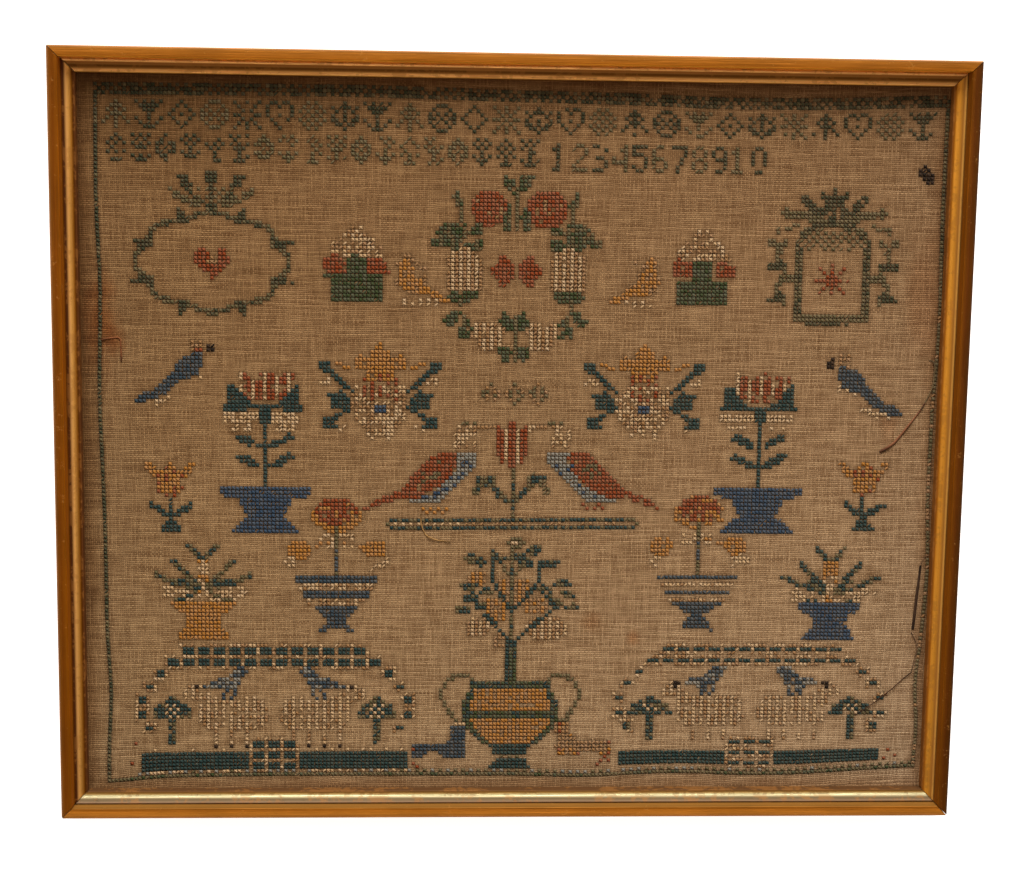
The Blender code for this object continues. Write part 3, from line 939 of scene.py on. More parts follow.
# The tree in its urn
# A round-headed tree with bare branches, leaf tufts and pale blossom, in a two-handled gold urn.
URN = (
    ("gold", 0.98, filled,
     ((-9.6, -64.6), (9.6, -64.6), (11, -68), (11.6, -72), (11, -74.6), (6, -79.8), (-6, -79.8),
      (-10.6, -74.6), (-11.6, -72), (-11, -68))),
    ("tan", 0.3, ribs(over('gold')), ((-9, -79), (9, -65))),
    ("olive", 1.0, box_of, ((-10.3, -64), (10.3, -63))),
    ("olive", 1.0, path_of(1.7),
     ((-10, -65), (-11.4, -68), (-11.8, -72), (-10.4, -75), (-6.6, -79)),
     ((10, -65), (11.4, -68), (11.8, -72), (10.6, -75), (6.4, -79))),
    ("olive", 1.0, box_of, ((-11.6, -72), (11.6, -71))),
    ("green", 0.35, over('olive'), ((-13, -80), (13, -62))),
    ("green", 1.0, filled, ((-6, -79.4), (6, -79.4), (4, -82.4), (-4, -82.4))),
    ("sage", 0.9, ribs(box_of), ((-3, -83), (3, -83))),
    ("green", 1.0, filled, ((-3.4, -83.4), (3.6, -83.4), (5.9, -86.6), (-5.6, -86.6))),
)
HANDLE = (
    ("sage", 1.0, single,
     ((10, -62), (11.6, -61), (14.4, -61), (16.8, -62.8), (17.9, -65.6), (17.2, -68.4), (15.4, -71),
      (13.6, -73.6))),
)
for side in (-1, 1):
    work(HANDLE, (0, 0), side)
work((
    ("sage", 0.9, single, ((11.6, -73.4), (15.4, -73.4))),
    ("cream", 0.8, single, ((-14, -74), (-11, -74))),
))
work(URN)
BLOSSOMS = (
    ("gold", 0.85, oval, ((-11.4, -37.4), (-6, -33.4))),
    ("gold", 0.85, filled,
     ((-7, -41), (-4, -39.6), (-1.6, -41), (-1.6, -46), (-3.6, -47.4), (-7, -44))),
    ("cream", 0.8, oval, ((-12, -50.8), (-5.6, -45.4))),
    ("gold", 0.8, filled, ((-3, -35.4), (4.6, -35.4), (4.6, -40), (2, -43), (-1, -43), (-3, -39))),
    ("gold", 0.8, oval, ((2, -44.6), (9.2, -40))),
    ("cream", 0.75, oval, ((3.6, -52), (14.6, -45.4))),
)
TREE = (
    ("tan", 0.8, filled, ((-4, -49), (-1.4, -49), (-1.4, -53), (-4, -53))),
    ("green", 1.0, box_of, ((-1, -62), (1, -52))),
    ("olive", 0.7, box_of, ((0, -62), (1, -54))),
    ("green", 1.0, single, ((0.4, -51), (0.4, -27))),
    ("sage", 0.6, single, ((0.4, -51), (0.4, -27))),
    ("green", 0.97, single,
     ((-1, -51), (-6.4, -45), (-8.6, -42.4), (-9.6, -39)),
     ((1, -52), (3, -50), (7.2, -46.4), (10, -44), (12.4, -42)),
     ((-0.4, -43), (-3.6, -38.6), (-5, -35.6), (-5.2, -31)),
     ((1, -43), (5, -38.6), (7, -35.6), (6.6, -31.4))),
    ("sage", 0.95, single, ((0, -36), (-3, -31), (-5, -28.4)), ((0.6, -34), (4, -30), (7, -27.4))),
)
TUFTS = (
    (-11, -37.4, 3.4), (-12.6, -43.4, 3.0), (-11, -40.6, 2.4), (-6.6, -38.8, 3.0), (-7.6, -42.6, 2.4),
    (13.2, -36.8, 3.2), (14.4, -39.6, 2.6), (11.4, -42, 3.0), (15.4, -42.8, 2.6), (8, -38, 3.0),
    (10, -40, 2.4), (-8.6, -31, 3.6), (9.6, -31.2, 3.8), (-3, -30, 3.0), (3.4, -31.6, 3.0),
    (-3.8, -28.4, 2.4), (5.4, -28, 2.8),
    (1.6, -29.4, 2.4), (-10.8, -29.8, 2.0),
)
for thread, share, tool, points in BLOSSOMS:
    work((("tan", 0.95, tool, points), (thread, share, ribs(tool), points)))
work(TREE)
for across, up, spread in TUFTS:
    tuft = ((-spread / 1.4, -1.05), (spread / 1.4, 1.05))
    work((("green", 0.95, oval, tuft), ("sage", 0.3, oval, tuft)), (across, up))
work((
    ("sage", 0.95, single, ((-1.4, -26), (0.6, -24.6), (2.6, -26), (0.6, -27.4), (-1.4, -26))),
    ("cream", 1.0, box_of, ((0, -26), (1, -26))),
))


# The small beasts beside the urn
# A blue bird sits on one side of the urn, and a faded red one on the other.
SITTING_BIRD = (
    ("slate", 1.0, filled,
     ((-25.6, -79), (-17.4, -79.4), (-15, -77.4), (-15, -74.6), (-11, -74.2), (-11, -77), (-11.4, -81),
      (-12, -83.5), (-16.6, -83.5), (-18.4, -81.6), (-21.6, -81.6), (-22.6, -83.5), (-25.6, -83.5))),
)
work(SITTING_BIRD)
work(SITTING_BIRD, (1, 0.6), -1, {"slate": "tan"})
RED_BIRD_PLACE = ((10, -84), (27, -73))
work((
    ("gold", 0.45, over('tan'), RED_BIRD_PLACE),
    ("rust", 0.2, over('gold'), RED_BIRD_PLACE),
    ("tan", 0.6, filled, ((12, -78), (26, -78.4), (25, -81), (17, -81), (12, -80))),
))


# The two garden beds
# Dark green hedge blocks with cream between them stand round a lawn, where cream sheep graze
# behind a low hedge, and small blue birds sit over them.
HEDGE_BLOCK = (
    ("cream", 0.55, box_of, ((-2, -1), (2, 2))),
    ("tan", 0.3, box_of, ((-2, -1), (2, 2))),
    ("green", 1.0, box_of, ((-1, 0), (1, 1))),
)
FLEECE = (
    (-9.6, -73), (-9.8, -69), (-7.4, -67), (4.6, -66.8), (6.2, -65), (8.2, -63.4), (10.4, -63.6),
    (12.4, -65.8), (12.2, -67), (9.6, -67.4), (8.4, -69), (7.8, -73.6), (6, -75.4), (-7.6, -75.4),
)
SHEEP = (
    ("tan", 0.45, filled, FLEECE),
    ("cream", 0.88, ribs(filled), FLEECE),
    ("tan", 0.85, ribs(box_of, 4), ((-8, -79), (7, -76))),
    ("cream", 0.5, ribs(box_of, 4), ((-8, -79), (7, -76))),
    ("black", 1.0, single, ((8, -63.6), (9, -64.4))),
    ("black", 0.8, ribs(box_of, 4), ((-8, -80), (7, -80))),
)
GARDEN_BIRD = (
    ("slate", 0.96, filled,
     ((-7, -64.4), (-4, -62.4), (0, -61.4), (2.4, -59), (4.4, -58.6), (5.6, -60), (4.2, -61.4),
      (3, -63.6), (0, -65), (-3, -64.6))),
    ("slate", 0.95, single, ((0, -65), (-1.4, -67)), ((2, -65), (1.4, -67))),
    ("mist", 0.35, over('slate'), ((-7, -65), (5, -58))),
)
GARDEN_TREE = (
    ("green", 0.97, filled,
     ((0, -66), (1.8, -68.2), (4.4, -69), (5.6, -71.6), (3, -72.6), (0.8, -72.4), (0.8, -79),
      (-0.8, -79), (-0.8, -72.4), (-3, -72.6), (-5.6, -71.6), (-4.4, -69), (-1.8, -68.2))),
    ("cream", 0.8, checks(box_of), ((-2.4, -72), (2.4, -69))),
    ("sage", 0.3, over('green'), ((-6, -79), (6, -66))),
)


def work_garden(middle, lift):
    """One garden bed: hedge blocks round the lawn, two low hedges and a checked plot between them."""
    for across in range(-22, 23, 4):
        for up in (-55, -58):
            work(HEDGE_BLOCK, (middle + across, up + lift))
    for across, up in ((26, -58), (29.4, -61), (32.2, -64.4), (34.4, -68), (34.8, -72), (32.8, -75.6)):
        for side in (-1, 1):
            work(HEDGE_BLOCK, (middle + side * across, up + lift))
    for side in (-1, 1):
        work((
            ("green", 1.0, box_of, ((6.6, -86), (34, -82))),
            ("cream", 0.45, box_of, ((6.6, -87), (34, -87))),
            ("cream", 0.55, ribs(box_of), ((6.6, -81), (34, -81))),
            ("rust", 0.35, checks(filled), ((35.6, -78), (40.5, -86.4), (35.6, -86.4))),
        ), (middle, lift), side)
        work(GARDEN_TREE, (middle + side * 26.5, lift), side)
        work(SHEEP, (middle + side * 11.5, lift), side)
        work(GARDEN_BIRD, (middle + side * 12, lift), -side)
    for across in (-4, 0, 4):
        for up in (-79, -82, -85):
            work(HEDGE_BLOCK, (middle + across, up + lift - 1))


work_garden(-61, 0)
work_garden(63, 0.6)


# A dark knot
# A knot of black thread stands alone near the right side, under the second band.
work((
    ("black", 1.0, filled, ((100.4, 69.6), (101.8, 71.4), (104.6, 68.6), (104.2, 66.4), (101.4, 67.2))),
))


# The sheet of linen
# Open, slightly slubby plain weave, about 28 threads an inch, brown with age and darker at its
# edges. It is stretched over the board, so its threads are pulled a little out of line.
CLOTH_WIDTH = 0.4074
CLOTH_HEIGHT = 0.3429
CLOTH_TOP = 0.0067
LINEN_THICKNESS = 0.0004
CLOTH_SWELL = 0.0006
CLOTH_FLAT_RIM = 0.0060

# Waves in the stretched cloth: crests across, crests up, phase in turns, share of the swell
CLOTH_WAVES = ((1.0, 0.6, 0.10, 0.45), (2.3, 1.1, 0.37, 0.30), (0.7, 3.1, 0.61, 0.25))

# How far each side's threads are drawn off, in stitches, by the place along that side
PULL_LEFT = (
    (-90, 0.6), (-80, 0.7), (-65, 1.6), (-50, 0.7), (-20, 0.6), (10, -0.3), (40, 0.4), (60, -0.4),
    (88, -0.1),
)
PULL_RIGHT = (
    (-86, -0.3), (-75, 0.3), (-63, -0.9), (-50, 0.4), (-32, 1.3), (-15, 0.4), (10, 0.5), (30, 1.4),
    (60, 0.8), (88, 1.0),
)
PULL_TOP = (
    (-104, 0.2), (-38, 0.6), (0, -0.1), (30, -0.4), (50, -1.1), (75, -0.9), (90, -0.4), (106, 0.4),
)
PULL_BOTTOM = (
    (-104, -1.3), (-90, 0.2), (-60, 0.6), (-30, 0.6), (5, 0.5), (20, -0.1), (32, 0.8), (45, 1.2),
    (60, 0.5), (75, 0.6), (90, 1.6), (106, 2.6),
)


def eased(at, rows):
    """Given amounts read at any place, joined by straight lines and a running mean."""
    knots = np.array(rows, float)
    dense = np.linspace(knots[0, 0], knots[-1, 0], 400)
    values = np.interp(dense, knots[:, 0], knots[:, 1])
    smooth = np.convolve(np.pad(values, 12, mode="edge"), np.full(25, 1 / 25), mode="valid")
    return np.interp(at, dense, smooth)


def pulled(across, up):
    """Where a place on the chart lies on the stretched cloth, in stitches.

    The pull of each side fades towards the middle with the square of the distance. The rows
    through the middle are tilted a little as well.
    """
    left = ((-across - 62.0) / 42.0).clip(0.0, 1.0) ** 2
    right = ((across - 64.0) / 42.0).clip(0.0, 1.0) ** 2
    top = ((up - 66.0) / 20.0).clip(0.0, 1.0) ** 2
    bottom = ((-up - 72.0) / 15.0).clip(0.0, 1.0) ** 2
    new_across = across + left * eased(up, PULL_LEFT) + right * eased(up, PULL_RIGHT)
    new_up = up + top * eased(across, PULL_TOP) + bottom * eased(across, PULL_BOTTOM)
    tilt = 0.0115 * across * np.clip(1.0 - np.abs(up + 20.0) / 60.0, 0.0, 1.0)
    return new_across, new_up + tilt * np.clip(1.0 - np.abs(across) / 90.0, 0.0, 1.0)


def cloth_height(x, y):
    """The linen's upper face: its flat place plus slow cosine waves that fade out at the rails."""
    wave = np.zeros_like(x)
    for crests_across, crests_up, phase, share in CLOTH_WAVES:
        turns = crests_across * (x / FRAME_WIDTH + 0.5) + crests_up * (y / FRAME_HEIGHT + 0.5) + phase
        wave += share * 0.5 * (1.0 + np.cos(2.0 * math.pi * turns))
    to_side = FRAME_WIDTH / 2.0 - SIGHT_EDGE - np.abs(x)
    to_end = FRAME_HEIGHT / 2.0 - SIGHT_EDGE - np.abs(y)
    near = np.clip(np.minimum(to_side, to_end) / CLOTH_FLAT_RIM - 1.0, 0.0, 1.0)
    return CLOTH_TOP + CLOTH_SWELL * wave * near * near * (3.0 - 2.0 * near)


def on_cloth(spots, lift):
    """Places in metres, so far over the linen, for places on the chart in stitches."""
    across, up = pulled(spots[..., 0], spots[..., 1])
    x = across * STITCH
    y = up * STITCH
    return np.stack([x, y, cloth_height(x, y) + lift], axis=-1)


def write_map(mesh, name, places):
    """Gives the mesh a UV map from one place for each vertex."""
    corner_vertex = np.zeros(len(mesh.loops), int)
    mesh.loops.foreach_get("vertex_index", corner_vertex)
    layer = mesh.uv_layers.new(name=name)
    layer.uv.foreach_set("vector", places[corner_vertex].astype(np.float32).ravel())


def write_values(mesh, name, values):
    """Gives the mesh an attribute from one value for each vertex."""
    attribute = mesh.attributes.new(name, "FLOAT", "POINT")
    attribute.data.foreach_set("value", values.astype(np.float32))


def sheet_mesh():
    """The linen: a grid with one line through every corner of a stitch, its rim and a flat back.

    The grid's inner lines are moved as the threads are pulled. The map called threads keeps
    the place on the chart, so the weave follows the pull, and the attribute called pricked
    says how many of the four squares at a corner are worked.
    """
    edge_across = CLOTH_WIDTH / 2.0 / STITCH
    edge_up = CLOTH_HEIGHT / 2.0 / STITCH
    lines_across = np.concatenate([[-edge_across], np.arange(-110.5, 111.0), [edge_across]])
    lines_up = np.concatenate([[-edge_up], np.arange(-92.5, 93.0), [edge_up]])
    across, up = np.meshgrid(lines_across, lines_up)
    new_across, new_up = pulled(across, up)
    hold = np.minimum(edge_across - np.abs(across), edge_up - np.abs(up)).clip(0.0, 2.0) / 2.0
    x = (across + hold * (new_across - across)) * STITCH
    y = (up + hold * (new_up - up)) * STITCH
    top = np.stack([x, y, cloth_height(x, y)], axis=-1).reshape(-1, 3)

    number = np.arange(across.size).reshape(across.shape)
    corners = (number[:-1, :-1], number[:-1, 1:], number[1:, 1:], number[1:, :-1])
    quads = np.stack(corners, axis=-1).reshape(-1, 4)
    rim = np.concatenate([number[0, :], number[1:, -1], number[-1, -2::-1], number[-2:0:-1, 0]])
    under = across.size + np.arange(len(rim))
    below = top[rim] * (1.0, 1.0, 0.0) + (0.0, 0.0, CLOTH_TOP - LINEN_THICKNESS)
    walls = np.stack([under, np.roll(under, -1), np.roll(rim, -1), rim], axis=-1)
    mesh = bpy.data.meshes.new("linen_sheet")
    faces = quads.tolist() + walls.tolist() + [under[::-1].tolist()]
    mesh.from_pydata(np.concatenate([top, below]).tolist(), [], faces)
    mesh.shade_smooth()
    mesh.set_sharp_from_angle(angle=math.radians(50.0))

    chart_place = np.stack([across, up], axis=-1).reshape(-1, 2)
    write_map(mesh, "threads", np.concatenate([chart_place, chart_place[rim]]))
    stitched = np.pad((chart > 0).astype(float), 1)
    worked = np.zeros(across.shape)
    worked[1:-1, 1:-1] = (
        stitched[:-1, :-1] + stitched[1:, :-1] + stitched[:-1, 1:] + stitched[1:, 1:]
    ) / 4.0
    write_values(mesh, "pricked", np.concatenate([worked.ravel(), np.zeros(len(rim))]))
    return mesh


def weave_group():
    """Plain weave: rows and columns of round threads that pass over and under each other.

    Threads is a place counted in threads. A thread's body is the size of a sine across it,
    and the product of both sines' signs says which thread lies on top. Slubs are noise
    that runs along each thread. The holes are where both bodies are low.
    """
    outputs = ("Height", "Holes", "Upright Tone", "Level Tone", "Upright On Top")
    group, given, end = new_group("plain_weave", {"Threads": "Vector"}, dict.fromkeys(outputs, "Float"))
    threads = given["Threads"]
    wobble = add_node(group, "TexNoise", {"Vector": threads, "Scale": 0.16, "Detail": 2.0})
    shift = vector_math(Value(wobble.outputs["Color"]), "SUBTRACT", (0.5, 0.5, 0.5))
    across, up, _ = parts_of(vector_math(threads, "ADD", vector_math(shift, "SCALE", 1.1)))
    upright_wave = (across * math.pi).math("SINE")
    level_wave = (up * math.pi).math("SINE")
    turn = upright_wave * level_wave
    upright_run = {"X": across.math("FLOOR") * 0.73, "Y": up * 0.055}
    level_run = {"X": across * 0.040, "Y": up.math("FLOOR") * 0.73, "Z": 9.0}
    upright_tone, level_tone = (
        noise(Value(add_node(group, "CombineXYZ", run).outputs[0]), 1.0, 3.0, 0.65)
        for run in (upright_run, level_run)
    )
    upright_high = upright_wave.math("ABSOLUTE") * (upright_tone * 0.6 + 0.30 + turn * 0.40)
    level_high = level_wave.math("ABSOLUTE") * (level_tone * 0.6 + 0.34 - turn * 0.40)
    height = upright_high.math("MAXIMUM", level_high)
    plug(end, {
        "Height": height,
        "Holes": ramp(height, 0.42, 0.16),
        "Upright Tone": upright_tone,
        "Level Tone": level_tone,
        "Upright On Top": ramp(upright_high - level_high, -0.12, 0.12),
    })
    return group


LINEN_MID = (0.232, 0.116, 0.048)
LINEN_PALE = (0.400, 0.225, 0.105)
LINEN_DARK = (0.098, 0.040, 0.013)
HOLE_PAINTED_SHADE = (0.040, 0.017, 0.006)
PRICK_PAINTED_SHADE = (0.010, 0.006, 0.003)
WORKED_SHADE = (0.30, 0.28, 0.26)
CLOUD_PALE = (1.18, 1.16, 1.14)
BAND_SHADE = (0.80, 0.76, 0.70)
MARGIN_BROWN_AND_SHADE = (0.66, 0.56, 0.46)
RED_STAIN = (0.80, 0.50, 0.30)
BROWN_PAINTED_SHADE = (0.60, 0.54, 0.44)

# Each stain's middle across and up, its reach across and up, its strength and its tint. The red
# rows are stains; the two brown rows are painted shade along the top rail's left half and along
# the left rail.
STAINS_AND_PAINTED_SHADE = (
    (-0.190, 0.055, 0.010, 0.030, 0.85, RED_STAIN), (-0.183, 0.046, 0.006, 0.010, 0.70, RED_STAIN),
    (0.038, -0.086, 0.007, 0.007, 0.35, RED_STAIN), (0.058, -0.093, 0.004, 0.005, 0.55, RED_STAIN),
    (0.190, 0.070, 0.012, 0.040, 0.35, RED_STAIN), (0.176, 0.010, 0.006, 0.016, 0.30, RED_STAIN),
    (-0.150, 0.150, 0.110, 0.040, 0.60, BROWN_PAINTED_SHADE), (-0.199, 0.000, 0.014, 0.140, 0.50, BROWN_PAINTED_SHADE),
)

# How the linen's red, green and blue drift with the place, as painted light with some fading: across, up,
# and the level
FADING_AND_PAINTED_LIGHT = (("Red", 0.55, -1.33, 0.0), ("Green", 0.73, -1.83, 0.10), ("Blue", 1.17, -2.52, 0.15))

tree, shader, linen_cloth = new_material("aged_linen")
thread_place = Value(add_node(tree, "UVMap", uv_map="threads").outputs["UV"])
weave = use_group(tree, weave_group(), {"Threads": vector_math(thread_place, "SCALE", 2.0)})
place = object_place(tree)
x_place, y_place, _ = parts_of(place)
upright = blend(LINEN_DARK, LINEN_PALE, ramp(weave["Upright Tone"], 0.30, 0.72))
level = blend(LINEN_DARK, LINEN_PALE, ramp(weave["Level Tone"], 0.28, 0.74))
colour = blend(blend(level, LINEN_MID, 0.25), blend(upright, LINEN_MID, 0.45), weave["Upright On Top"])
# Painted shade in the gaps between the threads
colour = blend(colour, HOLE_PAINTED_SHADE, weave["Holes"] * 0.75)

# The needle's holes stand at the corners of the worked squares. The linen among the crosses
# is darkened and the holes are painted nearly black, both as painted shade.
reader = add_node(tree, "Attribute", attribute_name="pricked", attribute_type="GEOMETRY")
worked = Value(reader.outputs["Fac"])
corner_waves = [((part + 0.5) * (2.0 * math.pi)).math("COSINE") for part in parts_of(thread_place)[:2]]
pricks = ramp(corner_waves[0] + corner_waves[1], 0.3, 1.3) * worked
colour = blend(colour, WORKED_SHADE, worked * 0.45, "MULTIPLY")
colour = blend(colour, PRICK_PAINTED_SHADE, pricks * 0.92)

# Slow clouds and level bands, and a darker margin under the rails' edges that is partly aged
# linen and partly painted shade
colour = blend(colour, CLOUD_PALE, ramp(noise(place, 9.0, 4.0, 0.6), 0.35, 0.70) * 0.22, "MULTIPLY")
bands = ramp(noise(stretched(place, 3.0, 60.0), 1.0, 3.0, 0.6), 0.45, 0.75)
colour = blend(colour, BAND_SHADE, bands * 0.30, "MULTIPLY")
side_gap = FRAME_WIDTH / 2.0 - x_place.math("ABSOLUTE")
end_gap = FRAME_HEIGHT / 2.0 - y_place.math("ABSOLUTE")
rim_gap = noise(place, 30.0) * 0.008 + side_gap.math("MINIMUM", end_gap)
colour = blend(colour, MARGIN_BROWN_AND_SHADE, ramp(rim_gap, 0.025, 0.014), "MULTIPLY")

for across, up, wide, high, strength, tint in STAINS_AND_PAINTED_SHADE:
    offset = vector_math(
        stretched(place, 1.0 / wide, 1.0 / high, 0.0), "SUBTRACT", (across / wide, up / high, 0.0),
    )
    far = Value(add_node(tree, "VectorMath", {0: offset}, operation="LENGTH").outputs["Value"])
    ragged = noise(place, 120.0) * 0.9 + far
    colour = blend(colour, tint, ramp(ragged, 1.5, 0.6) * strength, "MULTIPLY")

# Painted light with some fading: the linen is browner and darker towards the upper left and paler at the
# lower right
light_and_fading_parts = {
    channel: (x_place * slope_across + y_place * slope_up + amount).math("EXPONENT")
    for channel, slope_across, slope_up, amount in FADING_AND_PAINTED_LIGHT
}
fading_and_painted_light = Value(add_node(tree, "CombineColor", light_and_fading_parts).outputs["Color"])
plug(shader, {
    "Base Color": blend(colour, fading_and_painted_light, 1.0, "MULTIPLY"),
    "Roughness": 0.95,
    "Specular IOR Level": 0.10,
    "Normal": bumped(pricks * -0.8 + weave["Height"], 0.8, 0.00030),
})
linen = add_piece("linen_sheet", sheet_mesh(), linen_cloth, "linen")
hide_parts("sampler_cloth")


# The crosses
# Each cross is two strands of loosely twisted wool from corner to corner of its square, the
# second over the first. The ends go down through the linen, and their colour is darkened
# there as painted shade.
YARN_HALF_WIDTH = 0.00058
YARN_HALF_HEIGHT = 0.00013
ARM_RISE = (0.00013, 0.00024)
ARM_DIP = 0.00006
RING_PLACES = (0.0, 0.16, 0.50, 0.84, 1.0)
RING_WIDTHS = (0.0, 0.86, 1.0, 0.86, 0.0)
RING_SIDES = 5
FIRST_SEED = 40

# Each thread's dye, its faded form, how full its strands are, and the share of its crosses
# that have lost their upper strand
YARNS = {
    "green": ((0.016, 0.036, 0.033), (0.050, 0.062, 0.048), 1.0, 0.03),
    "olive": ((0.034, 0.046, 0.014), (0.092, 0.086, 0.052), 1.0, 0.03),
    "moss": ((0.033, 0.036, 0.017), (0.090, 0.070, 0.036), 0.9, 0.03),
    "sage": ((0.090, 0.072, 0.031), (0.150, 0.110, 0.056), 0.9, 0.10),
    "blue": ((0.027, 0.048, 0.078), (0.074, 0.080, 0.086), 1.0, 0.03),
    "slate": ((0.028, 0.044, 0.056), (0.086, 0.082, 0.074), 1.0, 0.03),
    "mist": ((0.170, 0.160, 0.130), (0.220, 0.190, 0.150), 0.9, 0.03),
    "cream": ((0.430, 0.270, 0.130), (0.440, 0.300, 0.175), 0.84, 0.25),
    "tan": ((0.250, 0.128, 0.048), (0.300, 0.170, 0.086), 0.82, 0.30),
    "gold": ((0.325, 0.130, 0.020), (0.335, 0.165, 0.064), 0.98, 0.08),
    "rust": ((0.195, 0.036, 0.007), (0.225, 0.086, 0.042), 0.98, 0.08),
    "black": ((0.012, 0.007, 0.004), (0.040, 0.022, 0.012), 1.0, 0.03),
}


def yarn_group():
    """Twisted wool: slanting plies along the strand, a tone of its own for each stitch, dark ends.

    Tone and Along are attributes from 0 to 1. The plies are a sine of the place along the
    strand plus the place round it, and their grooves are darkened as painted shade. The dark
    ends are painted shade where the strand dips into the linen.
    """
    inputs = {
        "Dye": "Color", "Faded": "Color", "Tone": "Float", "Along": "Float", "Plies": "Vector",
        "Vector": "Vector",
    }
    group, given, end = new_group("twisted_yarn", inputs, {"Colour": "Color", "Height": "Float"})
    lengthwise, roundwise, _ = parts_of(given["Plies"])
    ply = (lengthwise * 26.0 + roundwise * 12.6).math("SINE") * 0.5 + 0.5
    fuzz = noise(given["Vector"], 5200.0, 3.0, 0.7)
    fade = ramp(given["Tone"], 0.10, 1.0, "LINEAR") * 0.8
    # Painted shade towards the strand's ends and in the grooves of the twist
    painted_shade_at_ends = ramp(given["Along"], 0.02, 0.55) * 0.62 + 0.38
    shade = (fuzz * 0.28 + ply * 0.24 + 0.62) * painted_shade_at_ends
    colour = blend(given["Dye"], given["Faded"], fade)
    plug(end, {"Colour": blend(colour, grey(shade), 1.0, "MULTIPLY"), "Height": fuzz * 0.6 + ply})
    return group


twisted_yarn = yarn_group()


def yarn_material(name, dye, faded):
    """Dyed wool: the yarn group with its dye and a paler form of it."""
    tree, shader, material = new_material(name)
    tone, along = (
        Value(add_node(tree, "Attribute", attribute_name=source, attribute_type="GEOMETRY").outputs["Fac"])
        for source in ("tone", "along")
    )
    yarn = use_group(tree, twisted_yarn, {
        "Dye": (*dye, 1.0),
        "Faded": (*faded, 1.0),
        "Tone": tone,
        "Along": along,
        "Plies": Value(add_node(tree, "UVMap", uv_map="plies").outputs["UV"]),
        "Vector": object_place(tree),
    })
    plug(shader, {
        "Base Color": yarn["Colour"],
        "Roughness": 0.9,
        "Specular IOR Level": 0.15,
        "Normal": bumped(yarn["Height"], 0.6, 0.00008),
    })
    return material


def strand_mesh(name, paths, widths, tones, rise, twists=1.0):
    """Closed strands: rings of points round each path, drawn together to a point at both ends.

    paths holds strands x places x 3. A ring lies across the way its path runs, wide in the
    cloth's plane and low above it. The plies map runs from 0 to twists along a strand.
    """
    strands, places, _ = paths.shape
    flat = np.gradient(paths, axis=1) * (1.0, 1.0, 0.0)
    flat /= np.linalg.norm(flat, axis=-1, keepdims=True)
    sideways = np.stack([-flat[..., 1], flat[..., 0], np.zeros(flat.shape[:2])], axis=-1)
    upward = np.array([0.0, 0.0, 1.0])
    turns = np.radians(90.0 + 360.0 * np.arange(RING_SIDES) / RING_SIDES)
    inner = slice(1, places - 1)
    wide = widths[:, inner, None, None] * YARN_HALF_WIDTH
    high = rise[:, inner, None, None] * YARN_HALF_HEIGHT
    rings = (
        paths[:, inner, None, :]
        + sideways[:, inner, None, :] * (np.cos(turns)[None, None, :, None] * wide)
        + upward * (np.sin(turns)[None, None, :, None] * high)
    )
    ring_count = places - 2
    each = 2 + ring_count * RING_SIDES
    points = np.concatenate([paths[:, :1], rings.reshape(strands, -1, 3), paths[:, -1:]], axis=1)
    first = 1 + np.arange(RING_SIDES)
    after = 1 + (np.arange(RING_SIDES) + 1) % RING_SIDES
    to_last = (ring_count - 1) * RING_SIDES
    start_cap = np.stack([np.zeros(RING_SIDES, int), after, first], axis=1)
    end_cap = np.stack([np.full(RING_SIDES, each - 1), first + to_last, after + to_last], axis=1)
    walls = [
        np.stack([first, after, after + RING_SIDES, first + RING_SIDES], axis=1) + RING_SIDES * ring
        for ring in range(ring_count - 1)
    ]
    offsets = (np.arange(strands) * each)[:, None, None]
    triangles = (np.concatenate([start_cap, end_cap])[None] + offsets).reshape(-1, 3)
    quads = (np.concatenate(walls)[None] + offsets).reshape(-1, 4)
    mesh = bpy.data.meshes.new(name)
    mesh.from_pydata(points.reshape(-1, 3).tolist(), [], triangles.tolist() + quads.tolist())
    mesh.shade_smooth()
    share = np.linspace(0.0, 1.0, places)[inner]
    lengthwise = np.concatenate([[0.0], np.repeat(share, RING_SIDES), [1.0]])
    roundwise = np.concatenate([[0.5], np.tile(np.arange(RING_SIDES) / RING_SIDES, ring_count), [0.5]])
    write_values(mesh, "tone", np.repeat(tones, each))
    write_values(mesh, "along", np.tile(1.0 - np.abs(2.0 * lengthwise - 1.0), strands))
    plies = np.stack([lengthwise * twists, roundwise], axis=1)
    write_map(mesh, "plies", np.tile(plies, (strands, 1)))
    return mesh


def crosses(squares, seed, half_share):
    """Two strands for each square of the chart, from corner to corner, on the pulled cloth.

    A strand's height is half a sine over its length. A share of the squares has lost its
    upper strand.
    """
    chance = np.random.default_rng(seed)
    count = int(squares.sum())
    centre = np.stack([column[squares], row[squares]], axis=1).astype(float)
    centre += chance.normal(0.0, 0.035, (count, 2))
    reach = 0.5 * chance.normal(0.89, 0.045, (count, 1, 2))
    share = np.array(RING_PLACES)
    bow = np.sin(math.pi * share)
    tone = (0.85 * chance.random(count) + 0.08 + 0.0012 * column[squares]).clip(0.0, 1.0)
    lost = chance.random(count) < half_share
    strands = []
    for slant, rise, keep in ((1.0, ARM_RISE[0], np.ones(count, bool)), (-1.0, ARM_RISE[1], ~lost)):
        step = (2.0 * share - 1.0)[None, :, None] * np.array([slant, 1.0]) * reach
        lift = rise * bow * chance.normal(1.0, 0.10, (count, 1)) - ARM_DIP * (1.0 - bow)
        path = on_cloth(centre[:, None, :] + step, lift)
        shade = (tone + chance.normal(0.0, 0.08, count)).clip(0.0, 1.0)
        width = np.array(RING_WIDTHS) * chance.normal(1.0, 0.10, (count, 1))
        strands.append((path[keep], width[keep], shade[keep]))
    return (np.concatenate(parts) for parts in zip(*strands))


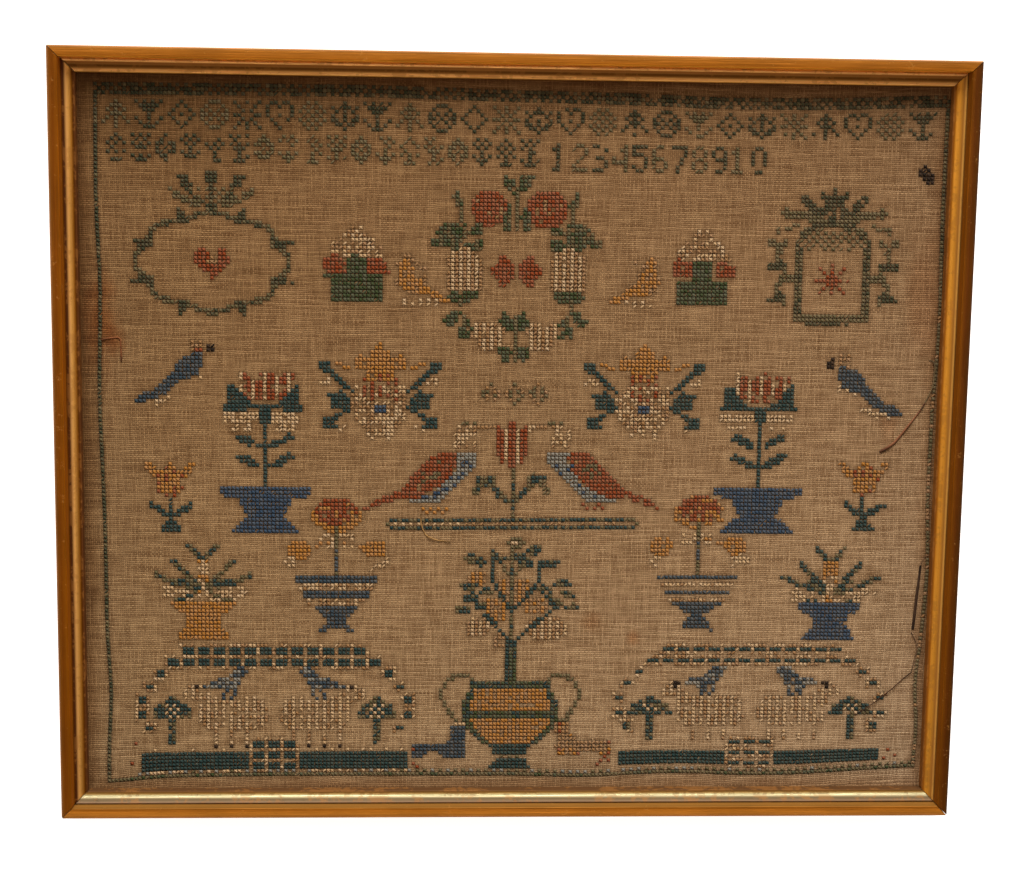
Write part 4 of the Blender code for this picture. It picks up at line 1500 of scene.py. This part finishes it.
for number, thread in enumerate(THREADS):
    dye, faded, fullness, half_share = YARNS[thread]
    paths, widths, tones = crosses(chart == number + 1, FIRST_SEED + number, half_share)
    mesh = strand_mesh("stitches_" + thread, paths, widths * fullness, tones, widths)
    add_piece("stitches_" + thread, mesh, yarn_material("wool_" + thread, dye, faded), "thread")


# Loose threads
# Ends of yarn that have worked out of the stitches lie on the linen: a long frayed brown one
# and a dark one at the right, an ochre one over the bar, and a rust one at the left.
THREAD_PLACES = 64

# Each thread's name, dye, widths at its start, middle and end, lift and path in stitches
LOOSE_THREADS = (
    ("loose_olive_thread", (0.150, 0.100, 0.045), (0.45, 0.55, 0.55), 0.0005,
     ((105.0, 21.9), (105.9, 22.3), (106.8, 20.6), (106.7, 15.7), (105.3, 11.8), (104.0, 9.2))),
    ("loose_brown_thread", (0.190, 0.072, 0.030), (0.60, 1.00, 1.25), 0.0004,
     ((105.0, 11.2), (103.1, 7.9), (100.1, 4.0), (97.7, 0.6), (93.9, -1.8))),
    ("loose_dark_thread", (0.040, 0.018, 0.008), (0.90, 1.30, 1.20), 0.0002,
     ((105.2, -31.4), (104.9, -36.7), (104.8, -40.7), (104.7, -44.7), (104.6, -48.8))),
    ("loose_thin_thread", (0.130, 0.070, 0.035), (0.45, 0.35, 0.35), 0.0003,
     ((107.4, -29.0), (106.4, -29.0), (105.6, -30.4), (105.2, -31.6))),
    ("loose_curved_thread", (0.130, 0.070, 0.035), (0.35, 0.35, 0.35), 0.0004,
     ((104.2, -49.2), (105.6, -51.4), (106.4, -53.3), (106.1, -56.8), (105.7, -59.8))),
    ("loose_slanting_thread", (0.065, 0.026, 0.010), (0.45, 0.45, 0.40), 0.0008,
     ((105.9, -59.8), (97.7, -66.8), (90.5, -71.7))),
    ("loose_ochre_thread", (0.330, 0.180, 0.060), (0.55, 0.60, 0.55), 0.0006,
     ((-23.5, -18.1), (-23.5, -20.7), (-22.4, -23.8), (-19.6, -25.1), (-15.8, -25.6))),
    ("loose_rust_thread", (0.210, 0.070, 0.022), (0.90, 0.60, 0.65), 0.0002,
     ((-103.7, 25.2), (-102.2, 25.7), (-98.9, 26.0), (-98.8, 24.0), (-98.6, 19.8))),
)


def smooth_path(points, count):
    """A run of evenly spaced places through given points, rounded by a running mean."""
    corners = np.array(points, float)
    gone = np.concatenate([[0.0], np.cumsum(np.linalg.norm(np.diff(corners, axis=0), axis=1))])
    reach = np.linspace(0.0, gone[-1], count)
    path = np.stack([np.interp(reach, gone, corners[:, axis]) for axis in (0, 1)], axis=1)
    half = count // 12
    padded = np.pad(path, ((half, half), (0, 0)), mode="reflect", reflect_type="odd")
    kernel = np.full(2 * half + 1, 1.0 / (2 * half + 1))
    return np.stack([np.convolve(padded[:, axis], kernel, mode="valid") for axis in (0, 1)], axis=1)


share = np.linspace(0.0, 1.0, THREAD_PLACES)
for number, (name, dye, ends, rise, points) in enumerate(LOOSE_THREADS):
    lift = 0.00012 + rise * np.abs(np.sin(2.5 * math.pi * share + number))
    path = on_cloth(smooth_path(points, THREAD_PLACES), lift)
    width = np.interp(share, (0.0, 0.5, 1.0), ends)[None]
    twists = np.linalg.norm(np.diff(path, axis=0), axis=1).sum() / STITCH
    mesh = strand_mesh(name, path[None], width, np.array([0.25]), width * 1.6, twists)
    faded = [1.2 * part + 0.02 for part in dye]
    add_piece(name, mesh, yarn_material(name, dye, faded), "thread")


bpy.context.view_layer.update()
